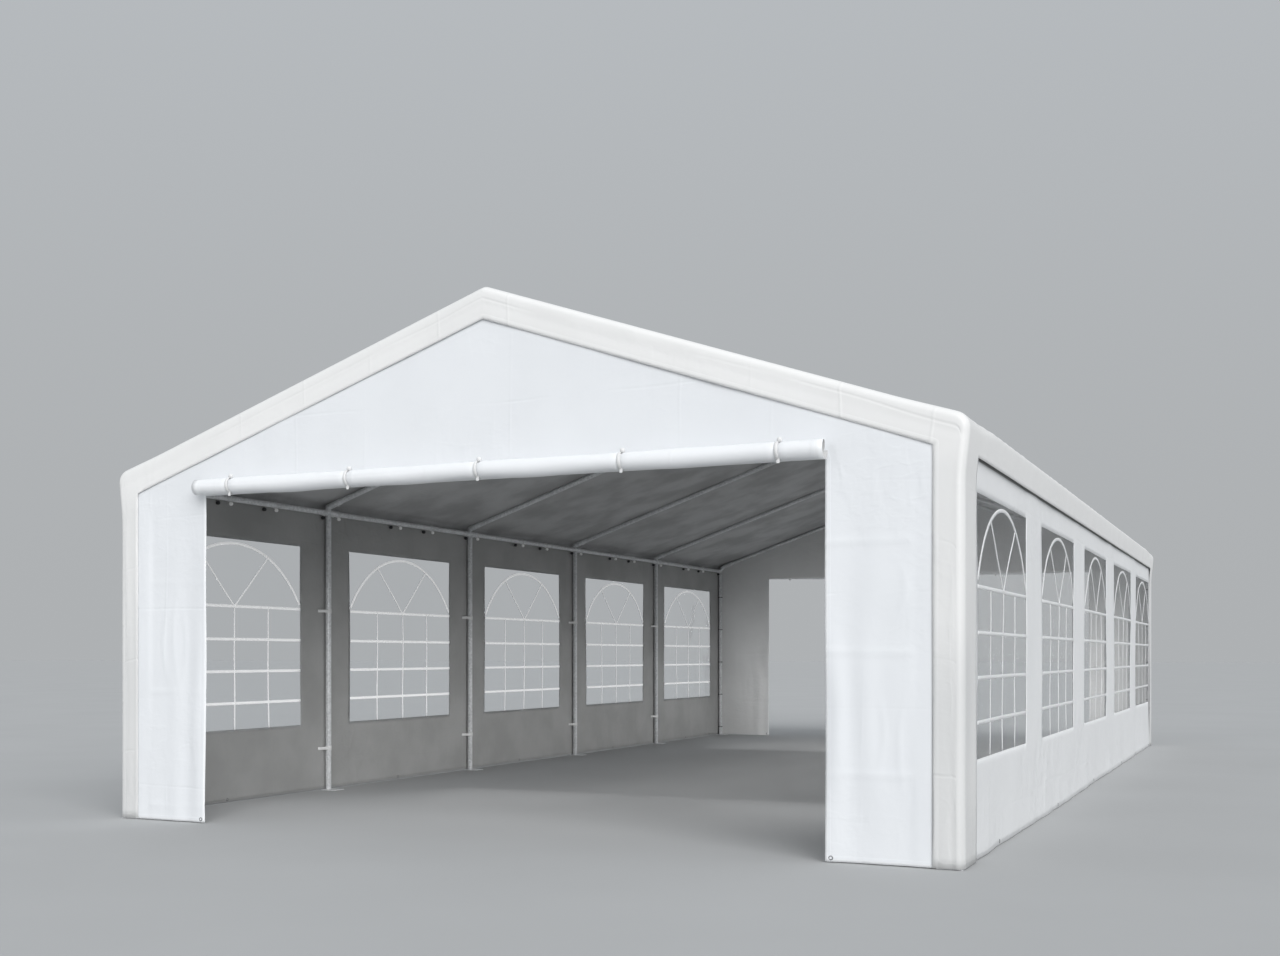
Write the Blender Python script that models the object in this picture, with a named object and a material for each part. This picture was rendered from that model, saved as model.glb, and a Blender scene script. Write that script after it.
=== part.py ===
"""A 5 m by 10 m party marquee: a steel tube frame of six bents with a white sheet cover.

The frame stands on foot plates. Its side walls hold five arched windows each, and both gable
doors are rolled up under the door head. Metres, +Z up, the origin on the ground at the middle
of the plan, +Y along the length with the front gable at -Y.
"""

import math

import bmesh
import bpy
from mathutils import Matrix, Vector

# Plan and heights of the frame, measured on the tube axes
BAY_COUNT = 5
BAY_LENGTH = 2.0
FRAME_WIDTH = 5.0
EAVE_RAIL_HEIGHT = 2.023
RIDGE_RISE = 0.85

# Steel posts, rafters and rails, their welded sockets and the foot plates
POST_DIAMETER = 0.042
TUBE_DIAMETER = 0.038
SOCKET_WALL = 0.003
SOCKET_REACH = 0.12
RAIL_SLEEVE_LENGTH = 0.16
FOOT_PLATE_SIDE = 0.12
FOOT_PLATE_THICKNESS = 0.004
TUBE_SIDES = 16

# Sheets of the cover
SHEET_THICKNESS = 0.004
WINDOW_FILM_THICKNESS = 0.002
GROUND_CLEARANCE = 0.005
VALANCE_DEPTH = 0.18
SKIRT_WIDTH_ON_GABLE = 0.145
SKIRT_WIDTH_ON_SIDE = 0.28
GABLE_TOP_CLEARANCE = 0.012

# Windows of the side walls
WINDOW_WIDTH = 1.41
WINDOW_HEIGHT = 1.275
WINDOW_SILL_HEIGHT = 0.485

# Gable doors, rolled up
DOOR_WIDTH = 3.75
DOOR_HEIGHT = 1.90
ROLL_DIAMETER = 0.116
ROLL_OVERHANG = 0.03
ROLL_ABOVE_HEAD = 0.002
ROLL_SIDES = 24

# Gap that separate solids keep where they touch, and how far a cutter runs past a face
SEAT_GAP = 0.0003
CUT_OVERRUN = 0.01

# Sizes that follow from the values above
POST_RADIUS = POST_DIAMETER / 2
TUBE_RADIUS = TUBE_DIAMETER / 2
BORE_RADIUS = TUBE_RADIUS + SEAT_GAP
SOCKET_RADIUS = TUBE_RADIUS + SOCKET_WALL
FRAME_REACH = max(POST_RADIUS, SOCKET_RADIUS)
HALF_WIDTH = FRAME_WIDTH / 2
HALF_LENGTH = BAY_COUNT * BAY_LENGTH / 2
BENT_POSITIONS = [-HALF_LENGTH + BAY_LENGTH * bent for bent in range(BAY_COUNT + 1)]
SLOPE = math.atan2(RIDGE_RISE, HALF_WIDTH)
RAFTER_OVER_RAIL = (2 * TUBE_RADIUS + SOCKET_WALL) / math.cos(SLOPE)
RAFTER_FOOT_HEIGHT = EAVE_RAIL_HEIGHT + RAFTER_OVER_RAIL
RAFTER_APEX_HEIGHT = RAFTER_FOOT_HEIGHT + RIDGE_RISE
RIDGE_RAIL_HEIGHT = RAFTER_APEX_HEIGHT - RAFTER_OVER_RAIL

# Planes of the sheets, as distances out from the axes of the posts and rafters
WALL_INSIDE = FRAME_REACH + SEAT_GAP
WALL_OUTSIDE = WALL_INSIDE + SHEET_THICKNESS
VALANCE_INSIDE = WALL_OUTSIDE + SEAT_GAP
VALANCE_OUTSIDE = VALANCE_INSIDE + SHEET_THICKNESS

COLOURS = {
    "steel": ((0.62, 0.63, 0.64), 0.38, 0.9),
    "sheet": ((0.90, 0.91, 0.93), 0.45, 0.0),
    "roof sheet": ((0.91, 0.91, 0.90), 0.45, 0.0),
    "film": ((0.80, 0.86, 0.88), 0.12, 0.0),
}


def clear_scene():
    """Removes the objects of the startup scene."""
    for obj in list(bpy.data.objects):
        bpy.data.objects.remove(obj)


def material(kind):
    """The Principled material of that kind, made once."""
    found = bpy.data.materials.get(kind)
    if found:
        return found
    colour, roughness, metallic = COLOURS[kind]
    made = bpy.data.materials.new(kind)
    made.use_nodes = True
    shader = made.node_tree.nodes["Principled BSDF"]
    shader.inputs["Base Color"].default_value = (*colour, 1.0)
    shader.inputs["Roughness"].default_value = roughness
    shader.inputs["Metallic"].default_value = metallic
    return made


def object_from(bm, name, kind):
    """An object of the closed shape in bm, which it frees."""
    bmesh.ops.recalc_face_normals(bm, faces=bm.faces)
    mesh = bpy.data.meshes.new(name)
    bm.to_mesh(mesh)
    bm.free()
    mesh.materials.append(material(kind))
    obj = bpy.data.objects.new(name, mesh)
    bpy.context.scene.collection.objects.link(obj)
    return obj


def rod(start, end, radius, sides=TUBE_SIDES):
    """A bmesh of a round bar between two points."""
    start = Vector(start)
    axis = Vector(end) - start
    turn = axis.to_track_quat("Z", "Y").to_matrix().to_4x4()
    bm = bmesh.new()
    bmesh.ops.create_cone(
        bm,
        cap_ends=True,
        segments=sides,
        radius1=radius,
        radius2=radius,
        depth=axis.length,
        matrix=Matrix.Translation(start + axis / 2) @ turn,
    )
    return bm


def rail_rod(x, height, span, radius):
    """A bmesh of a round bar along Y at that place in X and Z, over a span in Y."""
    return rod((x, span[0], height), (x, span[1], height), radius)


def block(low, high):
    """A bmesh of a box between two corners."""
    low, high = Vector(low), Vector(high)
    bm = bmesh.new()
    size = high - low
    matrix = Matrix.Translation((low + high) / 2) @ Matrix.Diagonal((*size, 1.0))
    bmesh.ops.create_cube(bm, size=1.0, matrix=matrix)
    return bm


def draw_out(bm, step):
    """Draws the flat faces in bm out into a closed solid, and returns the corners that moved."""
    made = bmesh.ops.extrude_face_region(bm, geom=bm.faces[:], use_keep_orig=True)
    moved = [item for item in made["geom"] if isinstance(item, bmesh.types.BMVert)]
    bmesh.ops.translate(bm, verts=moved, vec=step)
    return moved


def prism(outline, low, high):
    """A bmesh of an outline in X and Z, drawn out along Y between two places."""
    bm = bmesh.new()
    bm.faces.new([bm.verts.new((x, low, z)) for x, z in outline])
    draw_out(bm, (0, high - low, 0))
    return bm


def helper(bm, name):
    """A shape that only joins or cuts another one, and isn't a piece of the marquee."""
    obj = object_from(bm, name, "steel")
    obj.hide_render = True
    obj.display_type = "WIRE"
    return obj


def boolean(obj, operation, shape):
    """Joins a shape to obj, or cuts it out, with a live modifier."""
    modifier = obj.modifiers.new(operation.title(), "BOOLEAN")
    modifier.operation = operation
    modifier.solver = "EXACT"
    modifier.object = helper(shape, f"{obj.name}_helper")


def shade_round(obj):
    """Smooth shading on a round piece, sharp at its ends."""
    obj.data.shade_smooth()
    obj.data.set_sharp_from_angle(angle=math.radians(40))


def rail_sleeve_span(position):
    """The stretch along Y of the sleeve that holds a rail at a bent, kept inside the gables."""
    reach = RAIL_SLEEVE_LENGTH / 2
    outermost = HALF_LENGTH + FRAME_REACH
    return max(position - reach, -outermost), min(position + reach, outermost)


def bore_span(position):
    """The rail bore of that sleeve: it runs through, and stops at a cap in the two end bents."""
    low, high = rail_sleeve_span(position)
    return max(low - CUT_OVERRUN, -HALF_LENGTH), min(high + CUT_OVERRUN, HALF_LENGTH)


def foot_plate(x, side, position):
    """A bmesh of the plate under a post: flush with the post outside, and reaching inward."""
    outer_edge = x + side * FRAME_REACH
    inner_edge = outer_edge - side * FOOT_PLATE_SIDE
    outermost = HALF_LENGTH + FRAME_REACH
    near = max(position - FOOT_PLATE_SIDE / 2, -outermost)
    near = min(near, outermost - FOOT_PLATE_SIDE)
    low = (min(outer_edge, inner_edge), near, 0)
    high = (max(outer_edge, inner_edge), near + FOOT_PLATE_SIDE, FOOT_PLATE_THICKNESS)
    return block(low, high)


def make_post(name, side, position):
    """A post on its foot plate, with the sockets for the eave rail and the rafter on its head."""
    x = side * HALF_WIDTH
    head = Vector((x, position, RAFTER_FOOT_HEIGHT))
    up_slope = Vector((-side * math.cos(SLOPE), 0, math.sin(SLOPE)))
    foot = Vector((x, position, FOOT_PLATE_THICKNESS / 2))
    post = object_from(rod(foot, head, POST_RADIUS), name, "steel")
    boolean(post, "UNION", foot_plate(x, side, position))
    boolean(post, "UNION", rail_rod(x, EAVE_RAIL_HEIGHT, rail_sleeve_span(position), SOCKET_RADIUS))
    boolean(post, "UNION", rod(head, head + up_slope * SOCKET_REACH, SOCKET_RADIUS))
    boolean(post, "DIFFERENCE", rail_rod(x, EAVE_RAIL_HEIGHT, bore_span(position), BORE_RADIUS))
    bottom = head + up_slope * SOCKET_WALL
    mouth = head + up_slope * (SOCKET_REACH + CUT_OVERRUN)
    boolean(post, "DIFFERENCE", rod(bottom, mouth, BORE_RADIUS))
    shade_round(post)


def make_rafter_pair(name, position):
    """Two rafters joined by the ridge connector, whose sleeve holds the ridge rail."""
    apex = Vector((0, position, RAFTER_APEX_HEIGHT))
    length = HALF_WIDTH / math.cos(SLOPE) - SOCKET_WALL - SEAT_GAP
    tubes, collars = [], []
    for side in (-1, 1):
        down_slope = Vector((side * math.cos(SLOPE), 0, -math.sin(SLOPE)))
        past_apex = apex - down_slope * SOCKET_WALL
        tubes.append(rod(past_apex, apex + down_slope * length, TUBE_RADIUS))
        collars.append(rod(past_apex, apex + down_slope * SOCKET_REACH, SOCKET_RADIUS))
    pair = object_from(tubes[0], name, "steel")
    sleeve = rail_rod(0, RIDGE_RAIL_HEIGHT, rail_sleeve_span(position), SOCKET_RADIUS)
    for shape in (tubes[1], *collars, sleeve):
        boolean(pair, "UNION", shape)
    boolean(pair, "DIFFERENCE", rail_rod(0, RIDGE_RAIL_HEIGHT, bore_span(position), BORE_RADIUS))
    shade_round(pair)


def make_rail(name, x, height):
    """A rail along the whole tent, between the capped sleeves of the two end bents."""
    end = HALF_LENGTH - SEAT_GAP
    shade_round(object_from(rail_rod(x, height, (-end, end), TUBE_RADIUS), name, "steel"))


def make_frame():
    """The steel frame: bents of two posts and a rafter pair, tied by three rails."""
    for bent, position in enumerate(BENT_POSITIONS, start=1):
        make_post(f"post_left_{bent}", -1, position)
        make_post(f"post_right_{bent}", 1, position)
        make_rafter_pair(f"rafter_pair_{bent}", position)
    make_rail("eave_rail_left", -HALF_WIDTH, EAVE_RAIL_HEIGHT)
    make_rail("eave_rail_right", HALF_WIDTH, EAVE_RAIL_HEIGHT)
    make_rail("ridge_rail", 0, RIDGE_RAIL_HEIGHT)


def roof_height(x, outward):
    """The height over the ground, at x, of the plane that lies that far above the rafter axes."""
    return RAFTER_APEX_HEIGHT + (outward - abs(x) * math.sin(SLOPE)) / math.cos(SLOPE)


def gabled_outline(half_width, bottom, outward):
    """A house-shaped outline in X and Z under the roof plane that far above the rafter axes."""
    eave = roof_height(half_width, outward)
    ridge = roof_height(0, outward)
    return [
        (-half_width, bottom),
        (half_width, bottom),
        (half_width, eave),
        (0, ridge),
        (-half_width, eave),
    ]


def valance_bottom(x):
    """The height of the valance's lower edge at x: level along the sides, sloped on the gables."""
    return roof_height(x, WALL_OUTSIDE) - VALANCE_DEPTH


def make_roof_cover():
    """The roof sheet: two slopes over the rafters and a valance down all four sides."""
    out_x, in_x = HALF_WIDTH + VALANCE_OUTSIDE, HALF_WIDTH + VALANCE_INSIDE
    out_y, in_y = HALF_LENGTH + VALANCE_OUTSIDE, HALF_LENGTH + VALANCE_INSIDE
    hem = valance_bottom(out_x)
    outer = gabled_outline(out_x, hem, WALL_OUTSIDE)
    cover = object_from(prism(outer, -out_y, out_y), "roof_cover", "roof sheet")
    room = gabled_outline(in_x, hem - CUT_OVERRUN, WALL_INSIDE)
    boolean(cover, "DIFFERENCE", prism(room, -in_y, in_y))
    gable_hem = WALL_OUTSIDE - VALANCE_DEPTH * math.cos(SLOPE)
    under_valance = gabled_outline(in_x, hem - CUT_OVERRUN, gable_hem)
    boolean(cover, "DIFFERENCE", prism(under_valance, -out_y - CUT_OVERRUN, out_y + CUT_OVERRUN))


def make_corner_skirt(name, side, end):
    """The strip that hangs from the valance round a corner post, one leaf on each wall."""
    out_x, in_x = HALF_WIDTH + VALANCE_OUTSIDE, HALF_WIDTH + VALANCE_INSIDE
    out_y, in_y = HALF_LENGTH + VALANCE_OUTSIDE, HALF_LENGTH + VALANCE_INSIDE
    edge_x = out_x - SKIRT_WIDTH_ON_GABLE
    edge_y = out_y - SKIRT_WIDTH_ON_SIDE
    side_leaf = [(out_x, edge_y), (out_x, in_y), (in_x, in_y), (in_x, edge_y)]
    corner = [(out_x, in_y), (out_x, out_y), (in_x, out_y), (in_x, in_y)]
    gable_leaf = [(in_x, in_y), (in_x, out_y), (edge_x, out_y), (edge_x, in_y)]
    bm = bmesh.new()
    for outline in (side_leaf, corner, gable_leaf):
        corners = [(side * x, end * y, GROUND_CLEARANCE) for x, y in outline]
        bm.faces.new([bm.verts.new(place) for place in corners])
    bmesh.ops.remove_doubles(bm, verts=bm.verts, dist=SEAT_GAP / 2)
    top = valance_bottom(out_x) - SEAT_GAP
    for corner in draw_out(bm, (0, 0, top - GROUND_CLEARANCE)):
        if abs(corner.co.x) < (edge_x + in_x) / 2:
            corner.co.z = valance_bottom(edge_x) - SEAT_GAP
    object_from(bm, name, "roof sheet")


def make_side_wall(side_name, side):
    """A side wall sheet with one window opening in each bay, and the film in each opening."""
    faces = (side * (HALF_WIDTH + WALL_INSIDE), side * (HALF_WIDTH + WALL_OUTSIDE))
    low, high = min(faces), max(faces)
    middle = (low + high) / 2
    end = HALF_LENGTH + WALL_OUTSIDE
    top = EAVE_RAIL_HEIGHT + TUBE_RADIUS
    sheet = block((low, -end, GROUND_CLEARANCE), (high, end, top))
    wall = object_from(sheet, f"side_wall_{side_name}", "sheet")
    sill, head = WINDOW_SILL_HEIGHT, WINDOW_SILL_HEIGHT + WINDOW_HEIGHT
    half_film = WINDOW_FILM_THICKNESS / 2
    for bay, (bent, next_bent) in enumerate(zip(BENT_POSITIONS, BENT_POSITIONS[1:]), start=1):
        start = (bent + next_bent - WINDOW_WIDTH) / 2
        finish = start + WINDOW_WIDTH
        opening = block((low - CUT_OVERRUN, start, sill), (high + CUT_OVERRUN, finish, head))
        boolean(wall, "DIFFERENCE", opening)
        film = block(
            (middle - half_film, start + SEAT_GAP, sill + SEAT_GAP),
            (middle + half_film, finish - SEAT_GAP, head - SEAT_GAP),
        )
        object_from(film, f"window_{side_name}_{bay}", "film")


def make_gable(end_name, end):
    """A gable sheet in three pieces, over and beside the doorway."""
    inner, outer = end * (HALF_LENGTH + WALL_INSIDE), end * (HALF_LENGTH + WALL_OUTSIDE)
    half_door = DOOR_WIDTH / 2
    half_sheet = HALF_WIDTH + WALL_INSIDE - SEAT_GAP
    under_roof = WALL_INSIDE - GABLE_TOP_CLEARANCE
    seam = half_door + SEAT_GAP
    for side_name, side in (("left", -1), ("right", 1)):
        outline = [
            (side * seam, GROUND_CLEARANCE),
            (side * half_sheet, GROUND_CLEARANCE),
            (side * half_sheet, roof_height(half_sheet, under_roof)),
            (side * seam, roof_height(seam, under_roof)),
        ]
        object_from(prism(outline, inner, outer), f"gable_{end_name}_{side_name}", "sheet")
    over_door = gabled_outline(half_door, DOOR_HEIGHT, under_roof)
    object_from(prism(over_door, inner, outer), f"gable_{end_name}_head", "sheet")


def make_door_roll(end_name, end):
    """The gable door, rolled up and tied against the sheet over the doorway."""
    radius = ROLL_DIAMETER / 2
    half_roll = DOOR_WIDTH / 2 + ROLL_OVERHANG
    y = end * (HALF_LENGTH + WALL_OUTSIDE + SEAT_GAP + radius)
    z = DOOR_HEIGHT + ROLL_ABOVE_HEAD + radius
    roll = rod((-half_roll, y, z), (half_roll, y, z), radius, ROLL_SIDES)
    shade_round(object_from(roll, f"door_roll_{end_name}", "sheet"))


def make_cover():
    """All the sheets of the marquee."""
    make_roof_cover()
    for end_name, end in (("front", -1), ("rear", 1)):
        make_gable(end_name, end)
        make_door_roll(end_name, end)
        for side_name, side in (("left", -1), ("right", 1)):
            make_corner_skirt(f"corner_skirt_{end_name}_{side_name}", side, end)
    make_side_wall("left", -1)
    make_side_wall("right", 1)


clear_scene()
make_frame()
make_cover()
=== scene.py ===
"""The looks of a 5 m by 10 m party marquee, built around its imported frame.

Every sheet is cut flat on a grid of stations, keeps its flat coordinates as a UV map in metres, and
is then hung in its place. The steel tubes, window bars, cords and fittings are modelled with bmesh
operators. Metres, +Z up, the front gable at -Y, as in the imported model.
"""

import logging
import math
from collections.abc import Callable, Iterable, Sequence
from dataclasses import dataclass, replace
from enum import Enum
from itertools import product

import bmesh
import bpy
from mathutils import Matrix, Vector, kdtree, noise


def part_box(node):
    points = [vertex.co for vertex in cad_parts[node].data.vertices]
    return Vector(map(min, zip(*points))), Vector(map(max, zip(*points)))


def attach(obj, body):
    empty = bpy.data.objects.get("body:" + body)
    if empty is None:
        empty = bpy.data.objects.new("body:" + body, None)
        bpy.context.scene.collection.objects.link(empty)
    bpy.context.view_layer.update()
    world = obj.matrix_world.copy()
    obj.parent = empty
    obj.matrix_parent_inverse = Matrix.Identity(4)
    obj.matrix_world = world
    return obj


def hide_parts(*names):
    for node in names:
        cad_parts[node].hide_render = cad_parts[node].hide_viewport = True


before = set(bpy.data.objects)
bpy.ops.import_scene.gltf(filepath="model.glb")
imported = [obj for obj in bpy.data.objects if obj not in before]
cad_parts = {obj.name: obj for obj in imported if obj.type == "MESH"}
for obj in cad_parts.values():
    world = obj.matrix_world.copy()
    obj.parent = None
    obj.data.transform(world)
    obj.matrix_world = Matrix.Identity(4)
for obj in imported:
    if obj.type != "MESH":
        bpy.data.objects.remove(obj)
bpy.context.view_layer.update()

Colour = tuple[float, float, float]
Span = tuple[float, float]
Sockets = dict[str, bpy.types.NodeSocket]

LOG = logging.getLogger("marquee")
PHOTO_WIDTH = 1280

# The rise of the rafters over half the width, and their gap over the eave rail, as the frame is made
RIDGE_RISE = 0.85
RAFTER_GAP = 0.003

# How far a sheet may stand out or in where another piece lies against it
SNUG = 0.0012

# How far a window's film and bars lie behind the wall's inner face
BEHIND_WALL = 0.0002

# The marks of coated tarpaulin, in metres
TAPE_WIDTH = 0.0045
FOLD_SPACINGS = (0.47, 0.53)
FOLD_WIDTH = 0.012
FOLD_DRIFT = 0.12
WELD_EDGE = (0.028, 0.025)
WELD_HEIGHT = 0.0006
BINDING_EDGE = (0.0145, 0.0135)

# Faces round a tube or a loop, the angle from which steel keeps its edges, and a block's rounding
TUBE_SIDES = 28
STEEL_SHARP_FROM = 40
BLOCK_EDGE = 0.001

VALUE, VECTOR = "NodeSocketFloat", "NodeSocketVector"


class Part(Enum):
    """A part of the tent that comes twice, once on each side of the middle."""

    @property
    def word(self) -> str:
        """The part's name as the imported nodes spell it."""
        return self.name.lower()


class Side(Part):
    """The two long sides of the marquee, seen from the front."""

    LEFT = -1
    RIGHT = 1


class End(Part):
    """The two gable ends."""

    FRONT = -1
    REAR = 1


class Slot(Enum):
    """The record's material slots."""

    STEEL = "galvanised_steel"
    ROOF = "roof_sheet"
    WALL = "wall_sheet"
    FILM = "window_film"
    CORD = "tie_cord"
    FITTINGS = "black_fittings"


def smooth_step(low: float, high: float, value: float) -> float:
    """A soft ramp.

    Args:
        low: where the ramp starts.
        high: where it ends, which may be below low.
        value: where it is read.

    Returns:
        0 before the ramp, 1 after it.
    """
    share = min(1.0, max(0.0, (value - low) / (high - low)))
    return share * share * (3 - 2 * share)


def limit(value: float, low: float, high: float) -> float:
    """The value, kept between two limits."""
    return min(high, max(low, value))


def soft_noise(x: float, y: float, seed: float) -> float:
    """Smooth noise, about -1 to 1, that repeats nowhere on the tent."""
    return noise.noise(Vector((x, y, seed * 7.31))) * 1.6


# Sizes that every sub-assembly shares


@dataclass(frozen=True)
class Layout:
    """Planes and places of the marquee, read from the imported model."""

    out_x: float
    out_y: float
    ridge: float
    valance_hem: float
    ground: float
    wall_x: float
    wall_y: float
    wall_top: float
    gable_peak: float
    gable_half: float
    strip_x: float
    strip_y: float
    door_half: float
    door_head: float
    post_x: float
    eave_rail: float
    ridge_rail: float
    rafter_foot: float
    bents: tuple[float, ...]
    eave_turn: float = 0.03
    corner_turn: float = 0.062
    rake_radius: float = 0.036
    side_hem_rise: float = 0.013

    @classmethod
    def from_frame(cls) -> "Layout":
        """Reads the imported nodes' boxes."""
        roof_low, roof_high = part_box("roof_cover")
        wall_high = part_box("side_wall_right")[1]
        head_low, head_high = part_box("gable_front_head")
        jamb_low, jamb_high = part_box("gable_front_right")
        strip_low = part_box("corner_skirt_rear_right")[0]
        eave_low, eave_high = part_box("eave_rail_right")
        ridge_low, ridge_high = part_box("ridge_rail")
        posts = sorted(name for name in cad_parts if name.startswith("post_left_"))
        bays = len(posts) - 1
        bay = (eave_high.y - eave_low.y) / bays
        tube = (eave_high.z - eave_low.z) / 2
        slope = math.atan2(RIDGE_RISE, (eave_low.x + eave_high.x) / 2)
        eave_rail = (eave_low.z + eave_high.z) / 2
        ridge_rail = (ridge_low.z + ridge_high.z) / 2
        return cls(
            out_x=roof_high.x,
            out_y=roof_high.y,
            ridge=roof_high.z,
            valance_hem=roof_low.z,
            ground=strip_low.z,
            wall_x=wall_high.x,
            wall_y=-jamb_low.y,
            wall_top=wall_high.z,
            gable_peak=head_high.z,
            gable_half=jamb_high.x,
            strip_x=strip_low.x,
            strip_y=strip_low.y,
            door_half=head_high.x,
            door_head=head_low.z,
            post_x=(eave_low.x + eave_high.x) / 2,
            eave_rail=eave_rail,
            ridge_rail=ridge_rail,
            rafter_foot=eave_rail + (2 * tube + RAFTER_GAP) / math.cos(slope),
            bents=tuple(-bays * bay / 2 + bay * bent for bent in range(bays + 1)),
        )

    @property
    def slope(self) -> float:
        """The roof's pitch, in radians."""
        return math.atan2(RIDGE_RISE, self.post_x)

    @property
    def eave(self) -> float:
        """The height of the roof sheet's outer face where it turns down into the valance."""
        return self.ridge - self.out_x * math.tan(self.slope)

    @property
    def side_hem(self) -> float:
        """The height of the side valances' hem, a little over the gable valances' one."""
        return self.valance_hem + self.side_hem_rise

    def turn_at(self, y: float) -> float:
        """How far from the eave fold the roof sheet starts to turn: it is softer at the gables."""
        at_corner = smooth_step(self.strip_y - 0.55, self.strip_y, abs(y))
        return self.eave_turn + (self.corner_turn - self.eave_turn) * at_corner

    def eave_arc(self, y: float) -> tuple[float, float, float]:
        """The roof sheet's turn at the eave.

        Args:
            y: the place along the tent.

        Returns:
            The arc's radius, and the x and z of its centre on the right.
        """
        turn = self.turn_at(y)
        radius = turn / math.tan((math.pi / 2 - self.slope) / 2)
        return radius, self.out_x - radius, self.eave - turn

    def bay_share(self, y: float) -> float:
        """How far y lies into its bay, from 0 at one bent to 1 at the next."""
        bay = self.bents[1] - self.bents[0]
        return ((y - self.bents[0]) / bay) % 1.0


# Shader building


class Graph:
    """A node tree that is being wired."""

    def __init__(self, tree: bpy.types.NodeTree) -> None:
        """Keeps the tree.

        Args:
            tree: the tree that gets the nodes.
        """
        self.tree = tree

    def add(self, kind: str, **settings: object) -> bpy.types.Node:
        """Adds a node.

        Args:
            kind: Blender's name of the node type.
            settings: properties to set on it.

        Returns:
            The new node.
        """
        node = self.tree.nodes.new(kind)
        for name, value in settings.items():
            setattr(node, name, value)
        return node

    def feed(self, target: bpy.types.NodeSocket, value: object) -> None:
        """Links an output to a socket, or sets a constant on it.

        Args:
            target: the input socket.
            value: an output socket, or a constant.
        """
        if isinstance(value, bpy.types.NodeSocket):
            self.tree.links.new(value, target)
        else:
            target.default_value = value

    def math(self, operation: str, *values: object) -> bpy.types.NodeSocket:
        """A Math node's output.

        Args:
            operation: the node's operation.
            values: one to three sockets or numbers.

        Returns:
            The result's socket.
        """
        node = self.add("ShaderNodeMath", operation=operation)
        for target, value in zip(node.inputs, values):
            self.feed(target, value)
        return node.outputs[0]

    def scaled(self, vector: object, x: float, y: float, z: float) -> bpy.types.NodeSocket:
        """A vector multiplied by three numbers."""
        node = self.add("ShaderNodeVectorMath", operation="MULTIPLY")
        self.feed(node.inputs[0], vector)
        node.inputs[1].default_value = (x, y, z)
        return node.outputs[0]

    def noise(self, vector: object, scale: object, detail: float = 2.0) -> bpy.types.NodeSocket:
        """A Noise texture's value.

        Args:
            vector: where it is read.
            scale: waves for each metre, as a number or a socket.
            detail: octaves.

        Returns:
            The value's socket, about 0.2 to 0.8.
        """
        node = self.add("ShaderNodeTexNoise")
        self.feed(node.inputs["Vector"], vector)
        self.feed(node.inputs["Scale"], scale)
        node.inputs["Detail"].default_value = detail
        return node.outputs["Fac"]

    def ramp(self, value: object, low: object, high: object, first: float = 0.0, last: float = 1.0,
             ) -> bpy.types.NodeSocket:
        """A smooth Map Range.

        Args:
            value: the socket that is read.
            low: its value at the start of the ramp.
            high: its value at the end.
            first: the result at the start.
            last: the result at the end.

        Returns:
            The result's socket.
        """
        node = self.add("ShaderNodeMapRange", interpolation_type="SMOOTHSTEP")
        for name, item in (("Value", value), ("From Min", low), ("From Max", high),
                           ("To Min", first), ("To Max", last)):
            self.feed(node.inputs[name], item)
        return node.outputs["Result"]

    def mix(self, factor: object, first: object, second: object) -> bpy.types.NodeSocket:
        """A mix of two colours.

        Args:
            factor: the share of the second one.
            first: a colour or socket.
            second: a colour or socket.

        Returns:
            The mixed colour's socket.
        """
        node = self.add("ShaderNodeMix", data_type="RGBA")
        self.feed(node.inputs["Factor"], factor)
        colours = [item for item in node.inputs if item.type == "RGBA"]
        for target, value in zip(colours, (first, second)):
            self.feed(target, (*value, 1.0) if isinstance(value, tuple) else value)
        return next(s for s in node.outputs if s.type == "RGBA")

    def split(self, vector: object) -> tuple[bpy.types.NodeSocket, ...]:
        """A vector's X, Y and Z."""
        node = self.add("ShaderNodeSeparateXYZ")
        self.feed(node.inputs[0], vector)
        return tuple(node.outputs)

    def attribute(self, name: str) -> bpy.types.NodeSocket:
        """A value that the mesh keeps at its vertices."""
        return self.add("ShaderNodeAttribute", attribute_name=name).outputs["Fac"]

    def place(self) -> bpy.types.NodeSocket:
        """The place on the object, in metres."""
        return self.add("ShaderNodeTexCoord").outputs["Object"]

    def flat(self) -> bpy.types.NodeSocket:
        """The place on the flat cut of a sheet, in metres."""
        return self.add("ShaderNodeUVMap", uv_map="cloth").outputs["UV"]

    def effect(self, effect: "Effect", **values: object) -> bpy.types.Node:
        """Places a shared effect.

        Args:
            effect: the effect.
            values: its inputs by name.

        Returns:
            The group node.
        """
        node = self.add("ShaderNodeGroup", node_tree=effect.group())
        for name, value in values.items():
            self.feed(node.inputs[name], value)
        return node

    def bump(self, height: object) -> bpy.types.NodeSocket:
        """A Bump node's normal, for a height in metres."""
        node = self.add("ShaderNodeBump")
        node.inputs["Distance"].default_value = 1.0
        self.feed(node.inputs["Height"], height)
        return node.outputs["Normal"]


@dataclass(frozen=True)
class Effect:
    """A look that materials share, as one node group with plain values for outputs."""

    name: str
    inputs: dict[str, str]
    outputs: tuple[str, ...]
    wire: Callable[[Graph, Sockets, Sockets], None]

    def group(self) -> bpy.types.NodeTree:
        """The node group, built once."""
        tree = bpy.data.node_groups.get(self.name)
        if tree:
            return tree
        tree = bpy.data.node_groups.new(self.name, "ShaderNodeTree")
        for label, kind in self.inputs.items():
            tree.interface.new_socket(name=label, in_out="INPUT", socket_type=kind)
        for label in self.outputs:
            tree.interface.new_socket(name=label, in_out="OUTPUT", socket_type=VALUE)
        graph = Graph(tree)
        given = graph.add("NodeGroupInput").outputs
        result = graph.add("NodeGroupOutput").inputs
        self.wire(graph, {s.name: s for s in given}, {s.name: s for s in result})
        return tree


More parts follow.
